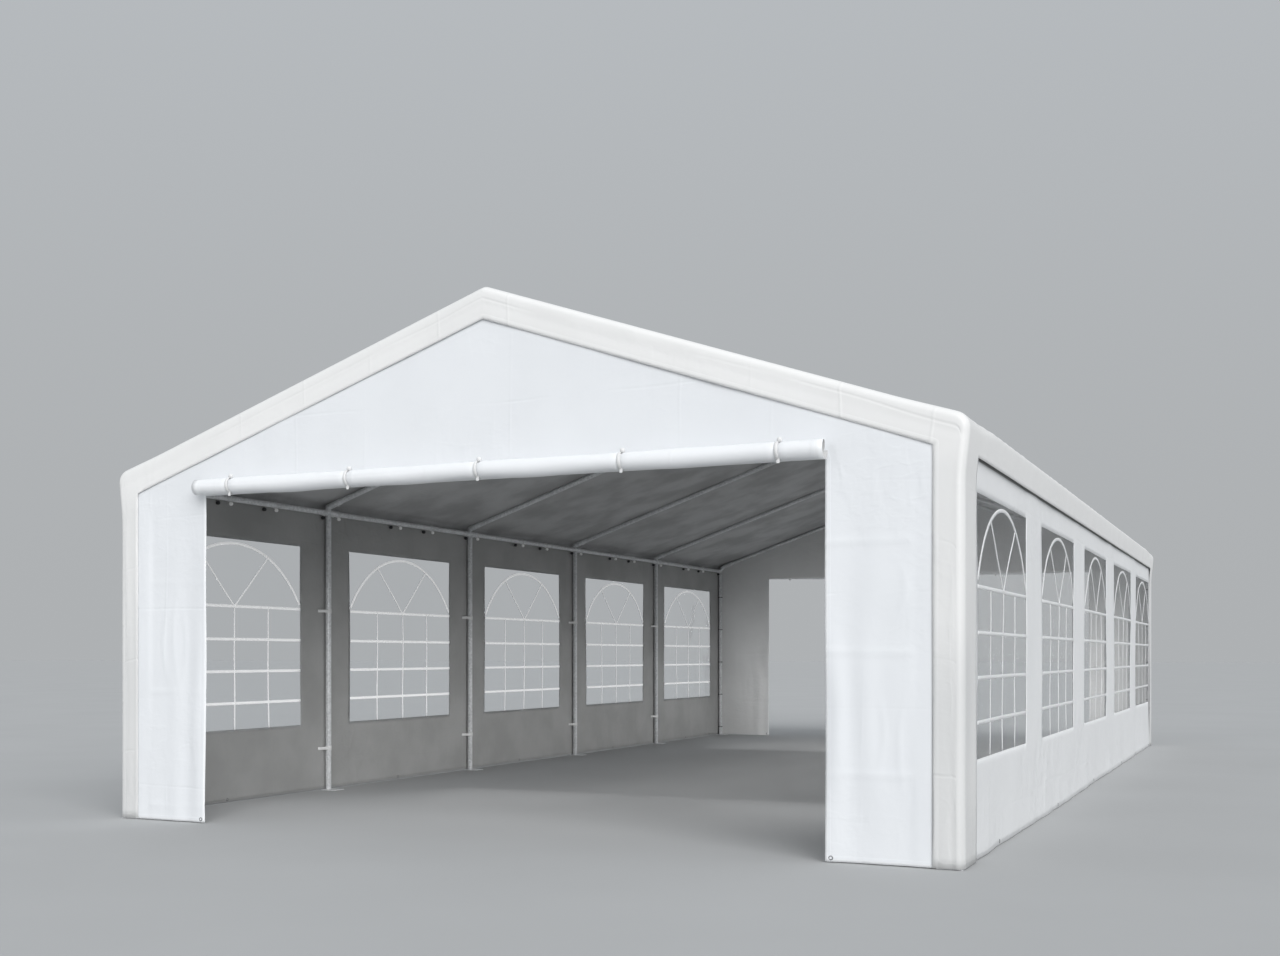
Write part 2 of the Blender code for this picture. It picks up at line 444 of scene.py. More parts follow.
def wire_cloth(graph: Graph, given: Sockets, result: Sockets) -> None:
    """Wires coated tarpaulin: tape weave, packing folds, crinkles, hem weld and mottling.

    Args:
        graph: the group that is being wired.
        given: its inputs by name.
        result: its outputs by name.
    """
    flat = given["Cloth"]
    u, v, _ = graph.split(flat)
    pitch = 2 * math.pi / TAPE_WIDTH
    tapes = graph.math(
        "MULTIPLY",
        graph.math("SINE", graph.math("MULTIPLY", u, pitch)),
        graph.math("SINE", graph.math("MULTIPLY", v, pitch)),
    )
    drift = graph.math("MULTIPLY", graph.noise(flat, 0.7), FOLD_DRIFT)
    presence = graph.ramp(graph.noise(flat, 1.3), 0.42, 0.62)
    folds = []
    for along, spacing in zip((u, v), FOLD_SPACINGS):
        turns = graph.math("DIVIDE", graph.math("ADD", along, drift), spacing)
        offset = graph.math("ABSOLUTE", graph.math("SUBTRACT", graph.math("FRACT", turns), 0.5))
        distance = graph.math("MULTIPLY", offset, spacing)
        folds.append(graph.ramp(distance, FOLD_WIDTH, 0.0))
    fold = graph.math("MULTIPLY", graph.math("SUBTRACT", folds[0], folds[1]), presence)
    ridges = []
    for stretch, scale in (((1.0, 0.35, 1.0), 5.0), ((0.6, 1.0, 1.0), 9.0)):
        wave = graph.noise(graph.scaled(flat, *stretch), scale, 3.0)
        folded = graph.math("ABSOLUTE", graph.math("SUBTRACT", wave, 0.5))
        ridges.append(graph.ramp(folded, 0.09, 0.0))
    crinkle = graph.math("ADD", ridges[0], graph.math("MULTIPLY", ridges[1], 0.5))
    crinkle = graph.math("MULTIPLY", crinkle, graph.ramp(graph.noise(flat, 0.9), 0.35, 0.7))
    weld = graph.math("MULTIPLY", graph.ramp(given["Hem"], *WELD_EDGE), WELD_HEIGHT)
    height = graph.math("MULTIPLY_ADD", tapes, given["Weave"], weld)
    height = graph.math("MULTIPLY_ADD", fold, given["Fold"], height)
    height = graph.math("MULTIPLY_ADD", crinkle, given["Crinkle"], height)
    graph.feed(result["Height"], height)
    graph.feed(result["Mottle"], graph.ramp(graph.noise(flat, 2.2, 4.0), 0.35, 0.68))
    graph.feed(result["Binding"], graph.ramp(given["Hem"], *BINDING_EDGE))


def wire_shade(graph: Graph, given: Sockets, result: Sockets) -> None:
    """Wires the dark band along the top of a side wall, which starts just under the valance's hem.

    Args:
        graph: the group that is being wired.
        given: its inputs by name.
        result: its outputs by name.
    """
    along, up, _ = graph.split(given["Cloth"])
    left = graph.math("SUBTRACT", given["End"], graph.math("ABSOLUTE", along))
    above = graph.math("SUBTRACT", up, given["Start"])
    shade = graph.math("MULTIPLY", graph.ramp(left, 0.0, 0.05), graph.ramp(above, -0.003, 0.001))
    graph.feed(result["Shade"], shade)


def wire_zinc(graph: Graph, given: Sockets, result: Sockets) -> None:
    """Wires the crystals of a zinc coating, with fine drawn scratches along them.

    Args:
        graph: the group that is being wired.
        given: its inputs by name.
        result: its outputs by name.
    """
    cells = graph.add("ShaderNodeTexVoronoi")
    graph.feed(cells.inputs["Vector"], given["Place"])
    graph.feed(cells.inputs["Scale"], graph.math("DIVIDE", 1.0, given["Size"]))
    grey = graph.add("ShaderNodeRGBToBW")
    graph.feed(grey.inputs[0], cells.outputs["Color"])
    blotch = graph.noise(given["Place"], 6.0, 3.0)
    crystal = graph.math("ADD", graph.math("MULTIPLY", grey.outputs[0], 0.45),
                         graph.math("MULTIPLY", blotch, 0.55))
    graph.feed(result["Crystal"], crystal)
    graph.feed(result["Scratch"], graph.noise(graph.scaled(given["Place"], 1.0, 1.0, 0.05), 420.0))


def wire_grain(graph: Graph, given: Sockets, result: Sockets) -> None:
    """Wires the faint orange peel of moulded plastic, or the strands of braided cord."""
    graph.feed(result["Grain"], graph.noise(given["Place"], given["Scale"], 3.0))


COATED_CLOTH = Effect(
    "coated cloth", {"Cloth": VECTOR, "Hem": VALUE, "Weave": VALUE, "Fold": VALUE, "Crinkle": VALUE},
    ("Height", "Mottle", "Binding"), wire_cloth)
VALANCE_SHADE = Effect(
    "valance shade", {"Cloth": VECTOR, "Start": VALUE, "End": VALUE}, ("Shade",), wire_shade)
ZINC_SPANGLE = Effect("zinc spangle", {"Place": VECTOR, "Size": VALUE}, ("Crystal", "Scratch"), wire_zinc)
MOULDED_GRAIN = Effect("moulded grain", {"Place": VECTOR, "Scale": VALUE}, ("Grain",), wire_grain)


# Finishes


def dim(colour: Colour, share: float) -> Colour:
    """A colour with that share of its strength."""
    return tuple(share * part for part in colour)


@dataclass(frozen=True)
class Finish:
    """A finish, built as a material once."""

    name: str

    def material(self) -> bpy.types.Material:
        """The finish as a material."""
        made = bpy.data.materials.get(self.name)
        if made:
            return made
        made = bpy.data.materials.new(self.name)
        made.use_nodes = True
        self.dress(Graph(made.node_tree), made.node_tree.nodes["Principled BSDF"])
        return made

    def dress(self, graph: Graph, shader: bpy.types.Node) -> None:
        """Wires the finish's own look.

        Args:
            graph: the material's node tree.
            shader: its Principled shader.
        """
        raise NotImplementedError


@dataclass(frozen=True)
class ClothFinish(Finish):
    """What tarpaulin and window film share: a cloth's relief on its flat coordinates."""

    def lay_cloth(self, graph: Graph, shader: bpy.types.Node, gloss: Span, weave: float, fold: float,
                  crinkle: float) -> bpy.types.Node:
        """Feeds the shader the cloth's roughness and relief.

        Args:
            graph: the material's node tree.
            shader: its Principled shader.
            gloss: the roughness between the marks and on them.
            weave: the depth of the tapes.
            fold: the depth of the packing folds.
            crinkle: the depth of the crinkles.

        Returns:
            The coated cloth's group node.
        """
        cloth = graph.effect(COATED_CLOTH, Cloth=graph.flat(), Hem=graph.attribute("hem"),
                             Weave=weave, Fold=fold, Crinkle=crinkle)
        graph.feed(shader.inputs["Roughness"], graph.ramp(cloth.outputs["Mottle"], 0.0, 1.0, *gloss))
        graph.feed(shader.inputs["Normal"], graph.bump(cloth.outputs["Height"]))
        return cloth


@dataclass(frozen=True)
class SheetFinish(ClothFinish):
    """Coated tarpaulin: its colour, the colour of its faint marks, and the depths of its relief."""

    colour: Colour
    marks: Colour
    binding: Colour
    gloss: Span = (0.34, 0.48)
    weave: float = 0.00006
    fold: float = 0.0007
    crinkle: float = 0.0022
    dust: Colour | None = None
    shaded: Colour = (0.3, 0.3, 0.302)
    shaded_from: float = 0.0
    shaded_to: float = 0.0

    def dress(self, graph: Graph, shader: bpy.types.Node) -> None:
        """Wires the tarpaulin, with its dust and painted shade, or the valance's painted shade band, where
        it has them.
        """
        cloth = self.lay_cloth(graph, shader, self.gloss, self.weave, self.fold, self.crinkle)
        colour = graph.mix(cloth.outputs["Mottle"], self.colour, self.marks)
        colour = graph.mix(cloth.outputs["Binding"], colour, self.binding)
        # The corner strips are painted greyer: partly dust, partly painted shade under the valances
        if self.dust:
            colour = graph.mix(graph.attribute("dust"), colour, self.dust)
        if self.shaded_to > 0:
            shade = graph.effect(VALANCE_SHADE, Cloth=graph.flat(), Start=self.shaded_from,
                                 End=self.shaded_to)
            colour = graph.mix(shade.outputs["Shade"], colour, self.shaded)
        graph.feed(shader.inputs["Base Color"], colour)


@dataclass(frozen=True)
class FilmFinish(ClothFinish):
    """Clear soft window film, slightly milky and rippled."""

    colour: Colour
    alpha: float = 0.18
    ior: float = 1.07
    gloss: Span = (0.02, 0.10)
    ripple: float = 0.00012

    def dress(self, graph: Graph, shader: bpy.types.Node) -> None:
        """Wires the film."""
        cloth = self.lay_cloth(graph, shader, self.gloss, 0.0, self.ripple / 2, self.ripple)
        colour = graph.mix(cloth.outputs["Mottle"], self.colour, dim(self.colour, 0.94))
        graph.feed(shader.inputs["Base Color"], colour)
        shader.inputs["Transmission Weight"].default_value = 1.0
        shader.inputs["IOR"].default_value = self.ior
        shader.inputs["Alpha"].default_value = self.alpha


@dataclass(frozen=True)
class SteelFinish(Finish):
    """Zinc-coated tube."""

    dark: Colour
    light: Colour
    metallic: float = 0.85
    gloss: Span = (0.32, 0.52)
    crystal_size: float = 0.012
    scratch_depth: float = 0.00012
    crystal_depth: float = 0.0001

    def dress(self, graph: Graph, shader: bpy.types.Node) -> None:
        """Wires the zinc."""
        zinc = graph.effect(ZINC_SPANGLE, Place=graph.place(), Size=self.crystal_size)
        crystal = zinc.outputs["Crystal"]
        tone = graph.ramp(crystal, 0.3, 0.7)
        graph.feed(shader.inputs["Base Color"], graph.mix(tone, self.dark, self.light))
        graph.feed(shader.inputs["Roughness"], graph.ramp(crystal, 0.3, 0.7, *self.gloss))
        height = graph.math("MULTIPLY", zinc.outputs["Scratch"], self.scratch_depth)
        height = graph.math("MULTIPLY_ADD", crystal, self.crystal_depth, height)
        graph.feed(shader.inputs["Normal"], graph.bump(height))
        shader.inputs["Metallic"].default_value = self.metallic


@dataclass(frozen=True)
class MouldedFinish(Finish):
    """Moulded plastic or braided cord: one colour with a fine grain."""

    colour: Colour
    roughness: float
    grain_scale: float = 900.0
    grain_depth: float = 0.00015
    glow_through: float = 0.0
    glow: float = 0.0
    glow_reach: float = 0.02

    def dress(self, graph: Graph, shader: bpy.types.Node) -> None:
        """Wires the grain, the light that comes through the plastic, and its painted glow where it has
        one.
        """
        grain = graph.effect(MOULDED_GRAIN, Place=graph.place(), Scale=self.grain_scale).outputs["Grain"]
        colour = graph.mix(graph.ramp(grain, 0.35, 0.65), dim(self.colour, 0.8), self.colour)
        graph.feed(shader.inputs["Base Color"], colour)
        graph.feed(shader.inputs["Emission Color"], colour)
        shader.inputs["Emission Strength"].default_value = self.glow
        rough = graph.ramp(grain, 0.3, 0.7, self.roughness - 0.08, self.roughness + 0.08)
        graph.feed(shader.inputs["Roughness"], rough)
        graph.feed(shader.inputs["Normal"], graph.bump(graph.math("MULTIPLY", grain, self.grain_depth)))
        shader.inputs["Subsurface Weight"].default_value = self.glow_through
        shader.inputs["Subsurface Radius"].default_value = (1.0, 1.0, 1.0)
        shader.inputs["Subsurface Scale"].default_value = self.glow_reach


@dataclass(frozen=True)
class FloorFinish(Finish):
    """The studio's floor: pale, dull and faintly mottled."""

    colour: Colour
    roughness: float = 0.9

    def dress(self, graph: Graph, shader: bpy.types.Node) -> None:
        """Wires the floor."""
        tone = graph.ramp(graph.noise(graph.place(), 0.6, 4.0), 0.3, 0.7)
        graph.feed(shader.inputs["Base Color"], graph.mix(tone, self.colour, dim(self.colour, 0.97)))
        shader.inputs["Roughness"].default_value = self.roughness
        shader.inputs["Specular IOR Level"].default_value = 0.0


# The roof's grey of dust and painted shade darkens its corner strips
ROOF_OUTSIDE = SheetFinish("roof_white", (0.83, 0.825, 0.815), (0.80, 0.795, 0.785),
                           (0.85, 0.845, 0.835), fold=0.0011, crinkle=0.0009, dust=(0.68, 0.68, 0.675))
WALL_OUTSIDE = SheetFinish("wall_white", (0.805, 0.82, 0.84), (0.785, 0.80, 0.82), (0.87, 0.88, 0.89),
                           crinkle=0.0010)
SIDE_OUTSIDE = SheetFinish("side_wall_white", (0.82, 0.825, 0.83), (0.79, 0.795, 0.80),
                           (0.87, 0.875, 0.88))
# The rolled door is painted lighter than the same cloth in the gable: painted light for the bright top of
# the roll.
ROLL_PAINTED_LIGHT = SheetFinish("roll_white", (0.85, 0.86, 0.875), (0.83, 0.84, 0.855), (0.87, 0.88, 0.89),
                           (0.3, 0.4), crinkle=0.0007)
# The inner faces are the outer cloth painted darker: painted shade for the dim room under the tent. The
# roof's inner blotches are partly painted shade too.
ROOF_INSIDE_SHADED = SheetFinish("roof_grey_inside", (0.56, 0.56, 0.56), (0.41, 0.41, 0.41),
                          (0.54, 0.54, 0.54), (0.5, 0.65))
WALL_INSIDE_SHADED = SheetFinish("wall_grey_inside", (0.39, 0.39, 0.385), (0.34, 0.34, 0.335),
                          (0.43, 0.43, 0.43), (0.5, 0.65))
GABLE_INSIDE_SHADED = SheetFinish("gable_pale_inside", (0.74, 0.74, 0.735), (0.70, 0.70, 0.695),
                           (0.80, 0.80, 0.80), (0.45, 0.6))
BAR_WHITE = MouldedFinish("window_bar_white", (0.90, 0.905, 0.91), 0.4, glow_through=0.6)
# The bars' inner faces glow: painted light for the daylight that shines through them from outside.
BAR_PAINTED_GLOW = MouldedFinish("window_bar_backlit", (0.92, 0.925, 0.93), 0.5, glow=0.42)
FILM_CLEAR = FilmFinish("window_film_clear", (0.74, 0.77, 0.79))
STEEL_ZINC = SteelFinish("zinc_coated_steel", (0.66, 0.67, 0.68), (0.85, 0.86, 0.87), 0.2)
# Black balls on the walls under the eave rails stand for shadows: painted shadow
BALL_PAINTED_SHADOW = MouldedFinish("black_moulded_ball", (0.035, 0.035, 0.037), 0.4)
CORD_WHITE = MouldedFinish("white_braided_cord", (0.82, 0.82, 0.815), 0.6, 1400.0, 0.0003)
CORD_DARK = MouldedFinish("dark_braided_cord", (0.06, 0.06, 0.065), 0.75, 1400.0, 0.0004)
BALL_WHITE = MouldedFinish("white_moulded_ball", (0.84, 0.84, 0.835), 0.35)
# The balls under the eave rails glow faintly: painted light that lifts them out of the shade under the
# roof.
BALL_PAINTED_GLOW = MouldedFinish("pale_moulded_ball", (0.84, 0.84, 0.835), 0.35, glow=0.1)
EYELET_METAL = SteelFinish("eyelet_metal", (0.18, 0.18, 0.19), (0.34, 0.34, 0.35), 1.0, (0.3, 0.45), 0.004)
FLOOR_PALE = FloorFinish("pale_floor", (0.49, 0.495, 0.497))


# Mesh building


def stations(step: float, *marks: float) -> list[float]:
    """Places along one edge of a sheet.

    Args:
        step: the widest gap between two places.
        marks: places that must be among them.

    Returns:
        Every mark, with even places between them, in order.
    """
    ordered = sorted(set(marks))
    places = [ordered[0]]
    for start, finish in zip(ordered, ordered[1:]):
        count = max(1, math.ceil((finish - start) / step - 1e-6))
        places += [start + (finish - start) * part / count for part in range(1, count + 1)]
    return places


def cut_sheet(us: Sequence[float], vs: Sequence[float], keep: Callable[[float, float], bool],
              ) -> bmesh.types.BMesh:
    """Cuts a sheet flat.

    Args:
        us: its stations along X.
        vs: its stations along Y.
        keep: says whether the cloth at a place is part of the cut.

    Returns:
        The flat sheet, its vertices at (u, v, 0).
    """
    bm = bmesh.new()
    columns, rows = len(us) - 1, len(vs) - 1
    bmesh.ops.create_grid(bm, x_segments=columns, y_segments=rows, size=0.5)
    for vert in bm.verts:
        column = round((vert.co.x + 0.5) * columns)
        row = round((vert.co.y + 0.5) * rows)
        vert.co = (us[column], vs[row], 0.0)
    waste = [face for face in bm.faces if not keep(*face.calc_center_median().xy)]
    bmesh.ops.delete(bm, geom=waste, context="FACES")
    return bm


def lay_flat(bm: bmesh.types.BMesh, pattern: Callable[[float, float], Span]) -> float:
    """Shapes the flat cut and keeps its flat coordinates as a UV map in metres.

    Args:
        bm: the flat sheet.
        pattern: gives the flat place of a station pair.

    Returns:
        The cut's area.
    """
    for vert in bm.verts:
        vert.co.xy = pattern(vert.co.x, vert.co.y)
    layer = bm.loops.layers.uv.new("cloth")
    for face in bm.faces:
        for loop in face.loops:
            loop[layer].uv = loop.vert.co.xy
    return sum(face.calc_area() for face in bm.faces)


def hang(bm: bmesh.types.BMesh, place: Callable[[float, float], Sequence[float]]) -> None:
    """Hangs a flat sheet.

    Args:
        bm: the flat sheet.
        place: gives the place in space of a point of the flat cut.
    """
    for vert in bm.verts:
        vert.co = place(vert.co.x, vert.co.y)


def measure_hems(bm: bmesh.types.BMesh) -> None:
    """Keeps every vertex's distance to the nearest cut edge, for the hem's weld and binding."""
    spots = []
    for edge in bm.edges:
        if edge.is_boundary:
            start, finish = (vert.co for vert in edge.verts)
            count = max(1, math.ceil(edge.calc_length() / 0.008))
            spots += [start.lerp(finish, part / count) for part in range(count + 1)]
    tree = kdtree.KDTree(len(spots))
    for index, spot in enumerate(spots):
        tree.insert(spot, index)
    tree.balance()
    layer = bm.verts.layers.float.new("hem")
    for vert in bm.verts:
        vert[layer] = tree.find(vert.co)[2]


def finish_mesh(name: str, bm: bmesh.types.BMesh, finishes: Iterable[Finish],
                sharp_from: float | None = None) -> bpy.types.Object:
    """Makes an object of a bmesh, which it frees.

    Args:
        name: the object's name.
        bm: its shape.
        finishes: its finishes in the order of its material slots.
        sharp_from: the angle in degrees from which an edge stays sharp, or None for cloth.

    Returns:
        The object, at the origin, in the scene.
    """
    mesh = bpy.data.meshes.new(name)
    bm.to_mesh(mesh)
    bm.free()
    mesh.shade_smooth()
    if sharp_from is not None:
        mesh.set_sharp_from_angle(angle=math.radians(sharp_from))
    for finish in finishes:
        mesh.materials.append(finish.material())
    obj = bpy.data.objects.new(name, mesh)
    bpy.context.scene.collection.objects.link(obj)
    return obj


def thicken(obj: bpy.types.Object, thickness: float) -> None:
    """Gives a sheet its thickness behind its outer face. The inner face takes its last finish.

    Args:
        obj: the sheet.
        thickness: in metres.
    """
    modifier = obj.modifiers.new("Thickness", "SOLIDIFY")
    modifier.thickness = thickness
    modifier.offset = -1.0
    modifier.material_offset = len(obj.data.materials) - 1
    modifier.use_quality_normals = True


def make_sheet(name: str, bm: bmesh.types.BMesh, finishes: Sequence[Finish], thickness: float,
               turned: bool) -> bpy.types.Object:
    """Makes a hung sheet into an object with its hems and its thickness.

    Args:
        name: the object's name.
        bm: the hung sheet.
        finishes: of its outer face and, where it differs, of its inner one.
        thickness: in metres.
        turned: whether its faces look inward as it was hung.

    Returns:
        The sheet.
    """
    if turned:
        bmesh.ops.reverse_faces(bm, faces=bm.faces)
    measure_hems(bm)
    sheet = finish_mesh(name, bm, finishes)
    thicken(sheet, thickness)
    return sheet


def seat(obj: bpy.types.Object, slot: Slot, *nodes: str) -> bpy.types.Object:
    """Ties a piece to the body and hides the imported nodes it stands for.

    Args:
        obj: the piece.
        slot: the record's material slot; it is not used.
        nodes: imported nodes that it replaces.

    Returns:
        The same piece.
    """
    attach(obj, "root")
    if nodes:
        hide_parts(*nodes)
    LOG.info("%s: %d faces", obj.name, len(obj.data.polygons))
    return obj


def edges_of(verts: Iterable[bmesh.types.BMVert]) -> list[bmesh.types.BMEdge]:
    """Every edge that meets one of the vertices."""
    return list({edge for vert in verts for edge in vert.link_edges})


def faces_of(verts: Iterable[bmesh.types.BMVert]) -> list[bmesh.types.BMFace]:
    """Every face that meets one of the vertices."""
    return list({face for vert in verts for face in vert.link_faces})


def soften(bm: bmesh.types.BMesh, edges: Sequence[bmesh.types.BMEdge], offset: float) -> None:
    """Rounds off some edges by that much."""
    bmesh.ops.bevel(bm, geom=edges, offset=offset, offset_type="OFFSET", segments=2, profile=0.5,
                    affect="EDGES", material=-1)


def add_rod(bm: bmesh.types.BMesh, start: Vector, finish: Vector, radius: float, sides: int = TUBE_SIDES,
            rim: float = 0.0015) -> None:
    """Adds a round bar with softened rims.

    Args:
        bm: the mesh that gets it.
        start: the middle of one end.
        finish: the middle of the other.
        radius: of the bar.
        sides: faces round it.
        rim: how much of its rims is rounded off.
    """
    axis = finish - start
    turn = axis.to_track_quat("Z", "Y").to_matrix().to_4x4()
    made = bmesh.ops.create_cone(
        bm, cap_ends=True, segments=sides, radius1=radius, radius2=radius, depth=axis.length,
        matrix=Matrix.Translation((start + finish) / 2) @ turn,
    )
    rims = [edge for edge in edges_of(made["verts"])
            if len(edge.link_faces) == 2 and edge.calc_face_angle() > math.radians(60)]
    soften(bm, rims, rim)


def add_block(bm: bmesh.types.BMesh, middle: Vector, size: Sequence[float], turn: float = 0.0) -> None:
    """Adds a box with softened edges.

    Args:
        bm: the mesh that gets it.
        middle: its middle.
        size: its length, width and height.
        turn: the angle from X to its length, seen from above.
    """
    shape = Matrix.Rotation(turn, 4, "Z") @ Matrix.Diagonal((*size, 1.0))
    made = bmesh.ops.create_cube(bm, size=1.0, matrix=Matrix.Translation(middle) @ shape)
    soften(bm, edges_of(made["verts"]), BLOCK_EDGE)


def add_ring(bm: bmesh.types.BMesh, centre: Vector, axis: Vector, radius: float, cord: float,
             steps: int = TUBE_SIDES, sides: int = 8, stretch: Sequence[float] = (1, 1, 1)) -> None:
    """Adds a closed ring of round cord.

    Args:
        bm: the mesh that gets it.
        centre: the ring's middle.
        axis: the direction through its hole.
        radius: from the middle to the cord's own middle.
        cord: the cord's radius.
        steps: faces round the ring.
        sides: faces round the cord.
        stretch: scale in the ring's own X, Y and Z.
    """
    turn = axis.to_track_quat("Z", "Y").to_matrix().to_4x4()
    section = bmesh.ops.create_circle(
        bm, cap_ends=False, segments=sides, radius=cord,
        matrix=Matrix.Translation((radius, 0, 0)) @ Matrix.Rotation(math.pi / 2, 4, "X"),
    )["verts"]
    old = set(bm.verts) - set(section)
    bmesh.ops.spin(bm, geom=section + edges_of(section), cent=(0, 0, 0), axis=(0, 0, 1), dvec=(0, 0, 0),
                   angle=2 * math.pi, steps=steps, use_merge=True, use_duplicate=False)
    verts = [vert for vert in bm.verts if vert not in old]
    shape = Matrix.Translation(centre) @ turn @ Matrix.Diagonal((*stretch, 1.0))
    bmesh.ops.transform(bm, matrix=shape, verts=verts)
    bmesh.ops.recalc_face_normals(bm, faces=faces_of(verts))


def add_ball(bm: bmesh.types.BMesh, centre: Vector, radius: float) -> None:
    """Adds a small moulded ball with a flat boss on top and below, where its cord runs through."""
    made = bmesh.ops.create_uvsphere(bm, u_segments=16, v_segments=10, radius=radius,
                                     matrix=Matrix.Translation(centre))
    boss = 0.88 * radius
    for vert in made["verts"]:
        vert.co.z = centre.z + limit(vert.co.z - centre.z, -boss, boss)


# The roof


@dataclass
class RoofSheet:
    """The roof sheet with its valances and corner strips, cut in one piece and hung over the rafters."""

    layout: Layout
    cell: float = 0.05
    strip_cell: float = 0.02
    leaf_cell: float = 0.05
    turn_cell: float = 0.009
    soft_turn_cell: float = 0.018
    rake_cell: float = 0.012
    thickness: float = 0.001
    ridge_turn: float = 0.02
    sag: float = 0.026
    ridge_sag: float = 0.008
    eave_stands_out: float = 0.024
    eave_reach: Span = (0.35, 0.12)
    eave_tuck: float = 0.32
    hem_stands_off: float = 0.002
    gable_hem_stands_off: float = 0.003
    gather: float = 0.0022
    gather_turns: float = 34.0
    valance_crease: float = 0.002
    crease_width: float = 0.018
    crinkle: float = 0.0035
    leg_stands_off: float = 0.0006
    leg_ripple: float = 0.0011
    leg_wave: float = 0.058

    def __post_init__(self) -> None:
        """Works out the flat cut from the layout."""
        layout = self.layout
        self.sin, self.cos = math.sin(layout.slope), math.cos(layout.slope)
        self.tan = math.tan(layout.slope)
        self.slope_length = layout.out_x / self.cos
        self.eave_end = self.slope_length + layout.corner_turn
        self.rake_end = layout.out_y + layout.rake_radius
        self.valance = layout.eave - layout.valance_hem
        self.gable_drop = self.valance - layout.rake_radius / self.cos
        self.side_drop = layout.eave - layout.corner_turn - layout.side_hem
        self.leaf_drop = layout.eave - layout.corner_turn - layout.ground
        self.strip_t = (layout.strip_x + layout.rake_radius * self.sin) / self.cos

    def keep(self, t: float, v: float) -> bool:
        """Whether the cut has cloth there: the corners between two leaves are cut away."""
        past_eave, past_rake = abs(t) - self.eave_end, abs(v) - self.rake_end
        if past_eave > 0 and past_rake > 0:
            return False
        if past_eave > self.side_drop:
            return abs(v) > self.layout.strip_y
        if past_rake > self.gable_drop:
            return abs(t) > self.strip_t
        return True

    def profile(self, across: float, v: float) -> tuple[Vector, Vector]:
        """The sheet's line across the tent: over the ridge, down the slope and round the eave.

        Args:
            across: the distance from the ridge line along the cloth.
            v: the place along the tent, for how softly the eave turns.

        Returns:
            The place and the outward direction, each as x and z on the right-hand half.
        """
        layout = self.layout
        turn = layout.turn_at(v)
        start = self.slope_length - turn
        if across < self.ridge_turn:
            angle = layout.slope * across / self.ridge_turn
            radius = self.ridge_turn / self.tan
            centre = Vector((0.0, layout.ridge - self.ridge_turn * self.sin - radius * self.cos))
        elif across <= start:
            x = across * self.cos
            return Vector((x, layout.ridge - x * self.tan)), Vector((self.sin, self.cos))
        elif across < start + 2 * turn:
            angle = layout.slope + (math.pi / 2 - layout.slope) * (across - start) / (2 * turn)
            radius, *middle = layout.eave_arc(v)
            centre = Vector(middle)
        else:
            return Vector((layout.out_x, layout.eave + self.slope_length - across)), Vector((1, 0))
        normal = Vector((math.sin(angle), math.cos(angle)))
        return centre + radius * normal, normal

    def place(self, t: float, v: float) -> tuple[float, float, float]:
        """Where a point of the flat cut hangs before the cloth gets its relief.

        Args:
            t: the distance from the ridge line, over the eave and down.
            v: the distance from the middle of the tent, over the rake and down.

        Returns:
            The place in space.
        """
        layout = self.layout
        radius = layout.rake_radius
        spot, normal = self.profile(abs(t), v)
        turned = limit((abs(v) - layout.out_y + radius) / (2 * radius), 0.0, 1.0) * math.pi / 2
        x, z = spot - normal * radius * (1 - math.cos(turned))
        along = min(abs(v), layout.out_y - radius) + radius * math.sin(turned)
        drop = max(0.0, abs(v) - self.rake_end)
        if drop > self.gable_drop:
            hem = z - self.gable_drop
            share = (drop - self.gable_drop) / (self.leaf_drop - self.gable_drop)
            z = hem + (layout.ground - hem) * share
        else:
            z -= drop
        return math.copysign(x, t), math.copysign(along, v), z

    def relief(self, place: Vector, normal: Vector) -> Vector:
        """How far the cloth moves at a point: it sags between the bents and its valances stand out.

        Args:
            place: the point.
            normal: the cloth's direction there.

        Returns:
            The step that the point moves by.
        """
        layout = self.layout
        bay = math.sin(math.pi * layout.bay_share(place.y)) ** 0.9
        inside = smooth_step(layout.out_y, layout.out_y - 0.12, abs(place.y))
        across = abs(place.x) / layout.out_x
        on_top = smooth_step(0.35, 0.9, normal.z)
        depth = self.sag * math.sin(math.pi * min(1.0, across)) ** 0.8 + self.ridge_sag * (1 - across)
        step = Vector((0, 0, -depth * bay * inside * on_top))
        broad = soft_noise(place.x * 1.1, place.y * 1.1 + place.z, 1)
        fine = soft_noise(place.x * 5 + place.z * 2, place.y * 5 + place.z * 2, 2)
        step += normal * (self.crinkle * (0.8 * broad + 0.5 * fine) * bay * on_top * inside)
        gathers = math.sin(place.y * self.gather_turns + 3 * soft_noise(place.y, 0, 3))
        from_fold = layout.out_x - abs(place.x)
        near_eave = smooth_step(0.5, 0.05, from_fold) * on_top
        step += normal * (self.gather * gathers * near_eave * bay * inside)
        drop = layout.eave - place.z
        broad_reach, hem_reach = self.eave_reach
        to_hem = smooth_step(0.0, self.valance, drop)
        reach = broad_reach + (hem_reach - broad_reach) * to_hem
        lift = self.eave_stands_out * smooth_step(reach, 0.0, from_fold)
        step.x += math.copysign(lift * smooth_step(self.eave_tuck, 0.0, drop), place.x)
        on_side = smooth_step(0.5, 0.9, abs(normal.x))
        on_gable = smooth_step(0.5, 0.9, abs(normal.y))
        if on_side > 0:
            off_strip = smooth_step(layout.strip_y, layout.strip_y - 0.15, abs(place.y))
            wave = 1 + 0.35 * soft_noise(place.y * 1.7, 0, 4)
            flare = self.hem_stands_off * to_hem * off_strip * wave * on_side
            step.x += math.copysign(flare, place.x)
        if on_gable > 0:
            wave = 1 + 0.6 * soft_noise(place.x * 2.1, place.z, 5)
            under = layout.ridge - abs(place.x) * self.tan - place.z
            crease = math.exp(-((under - self.valance * 0.55) / self.crease_width) ** 2)
            flare = self.gable_hem_stands_off * wave - self.valance_crease * crease
            step.y += math.copysign(flare * on_gable, place.y)
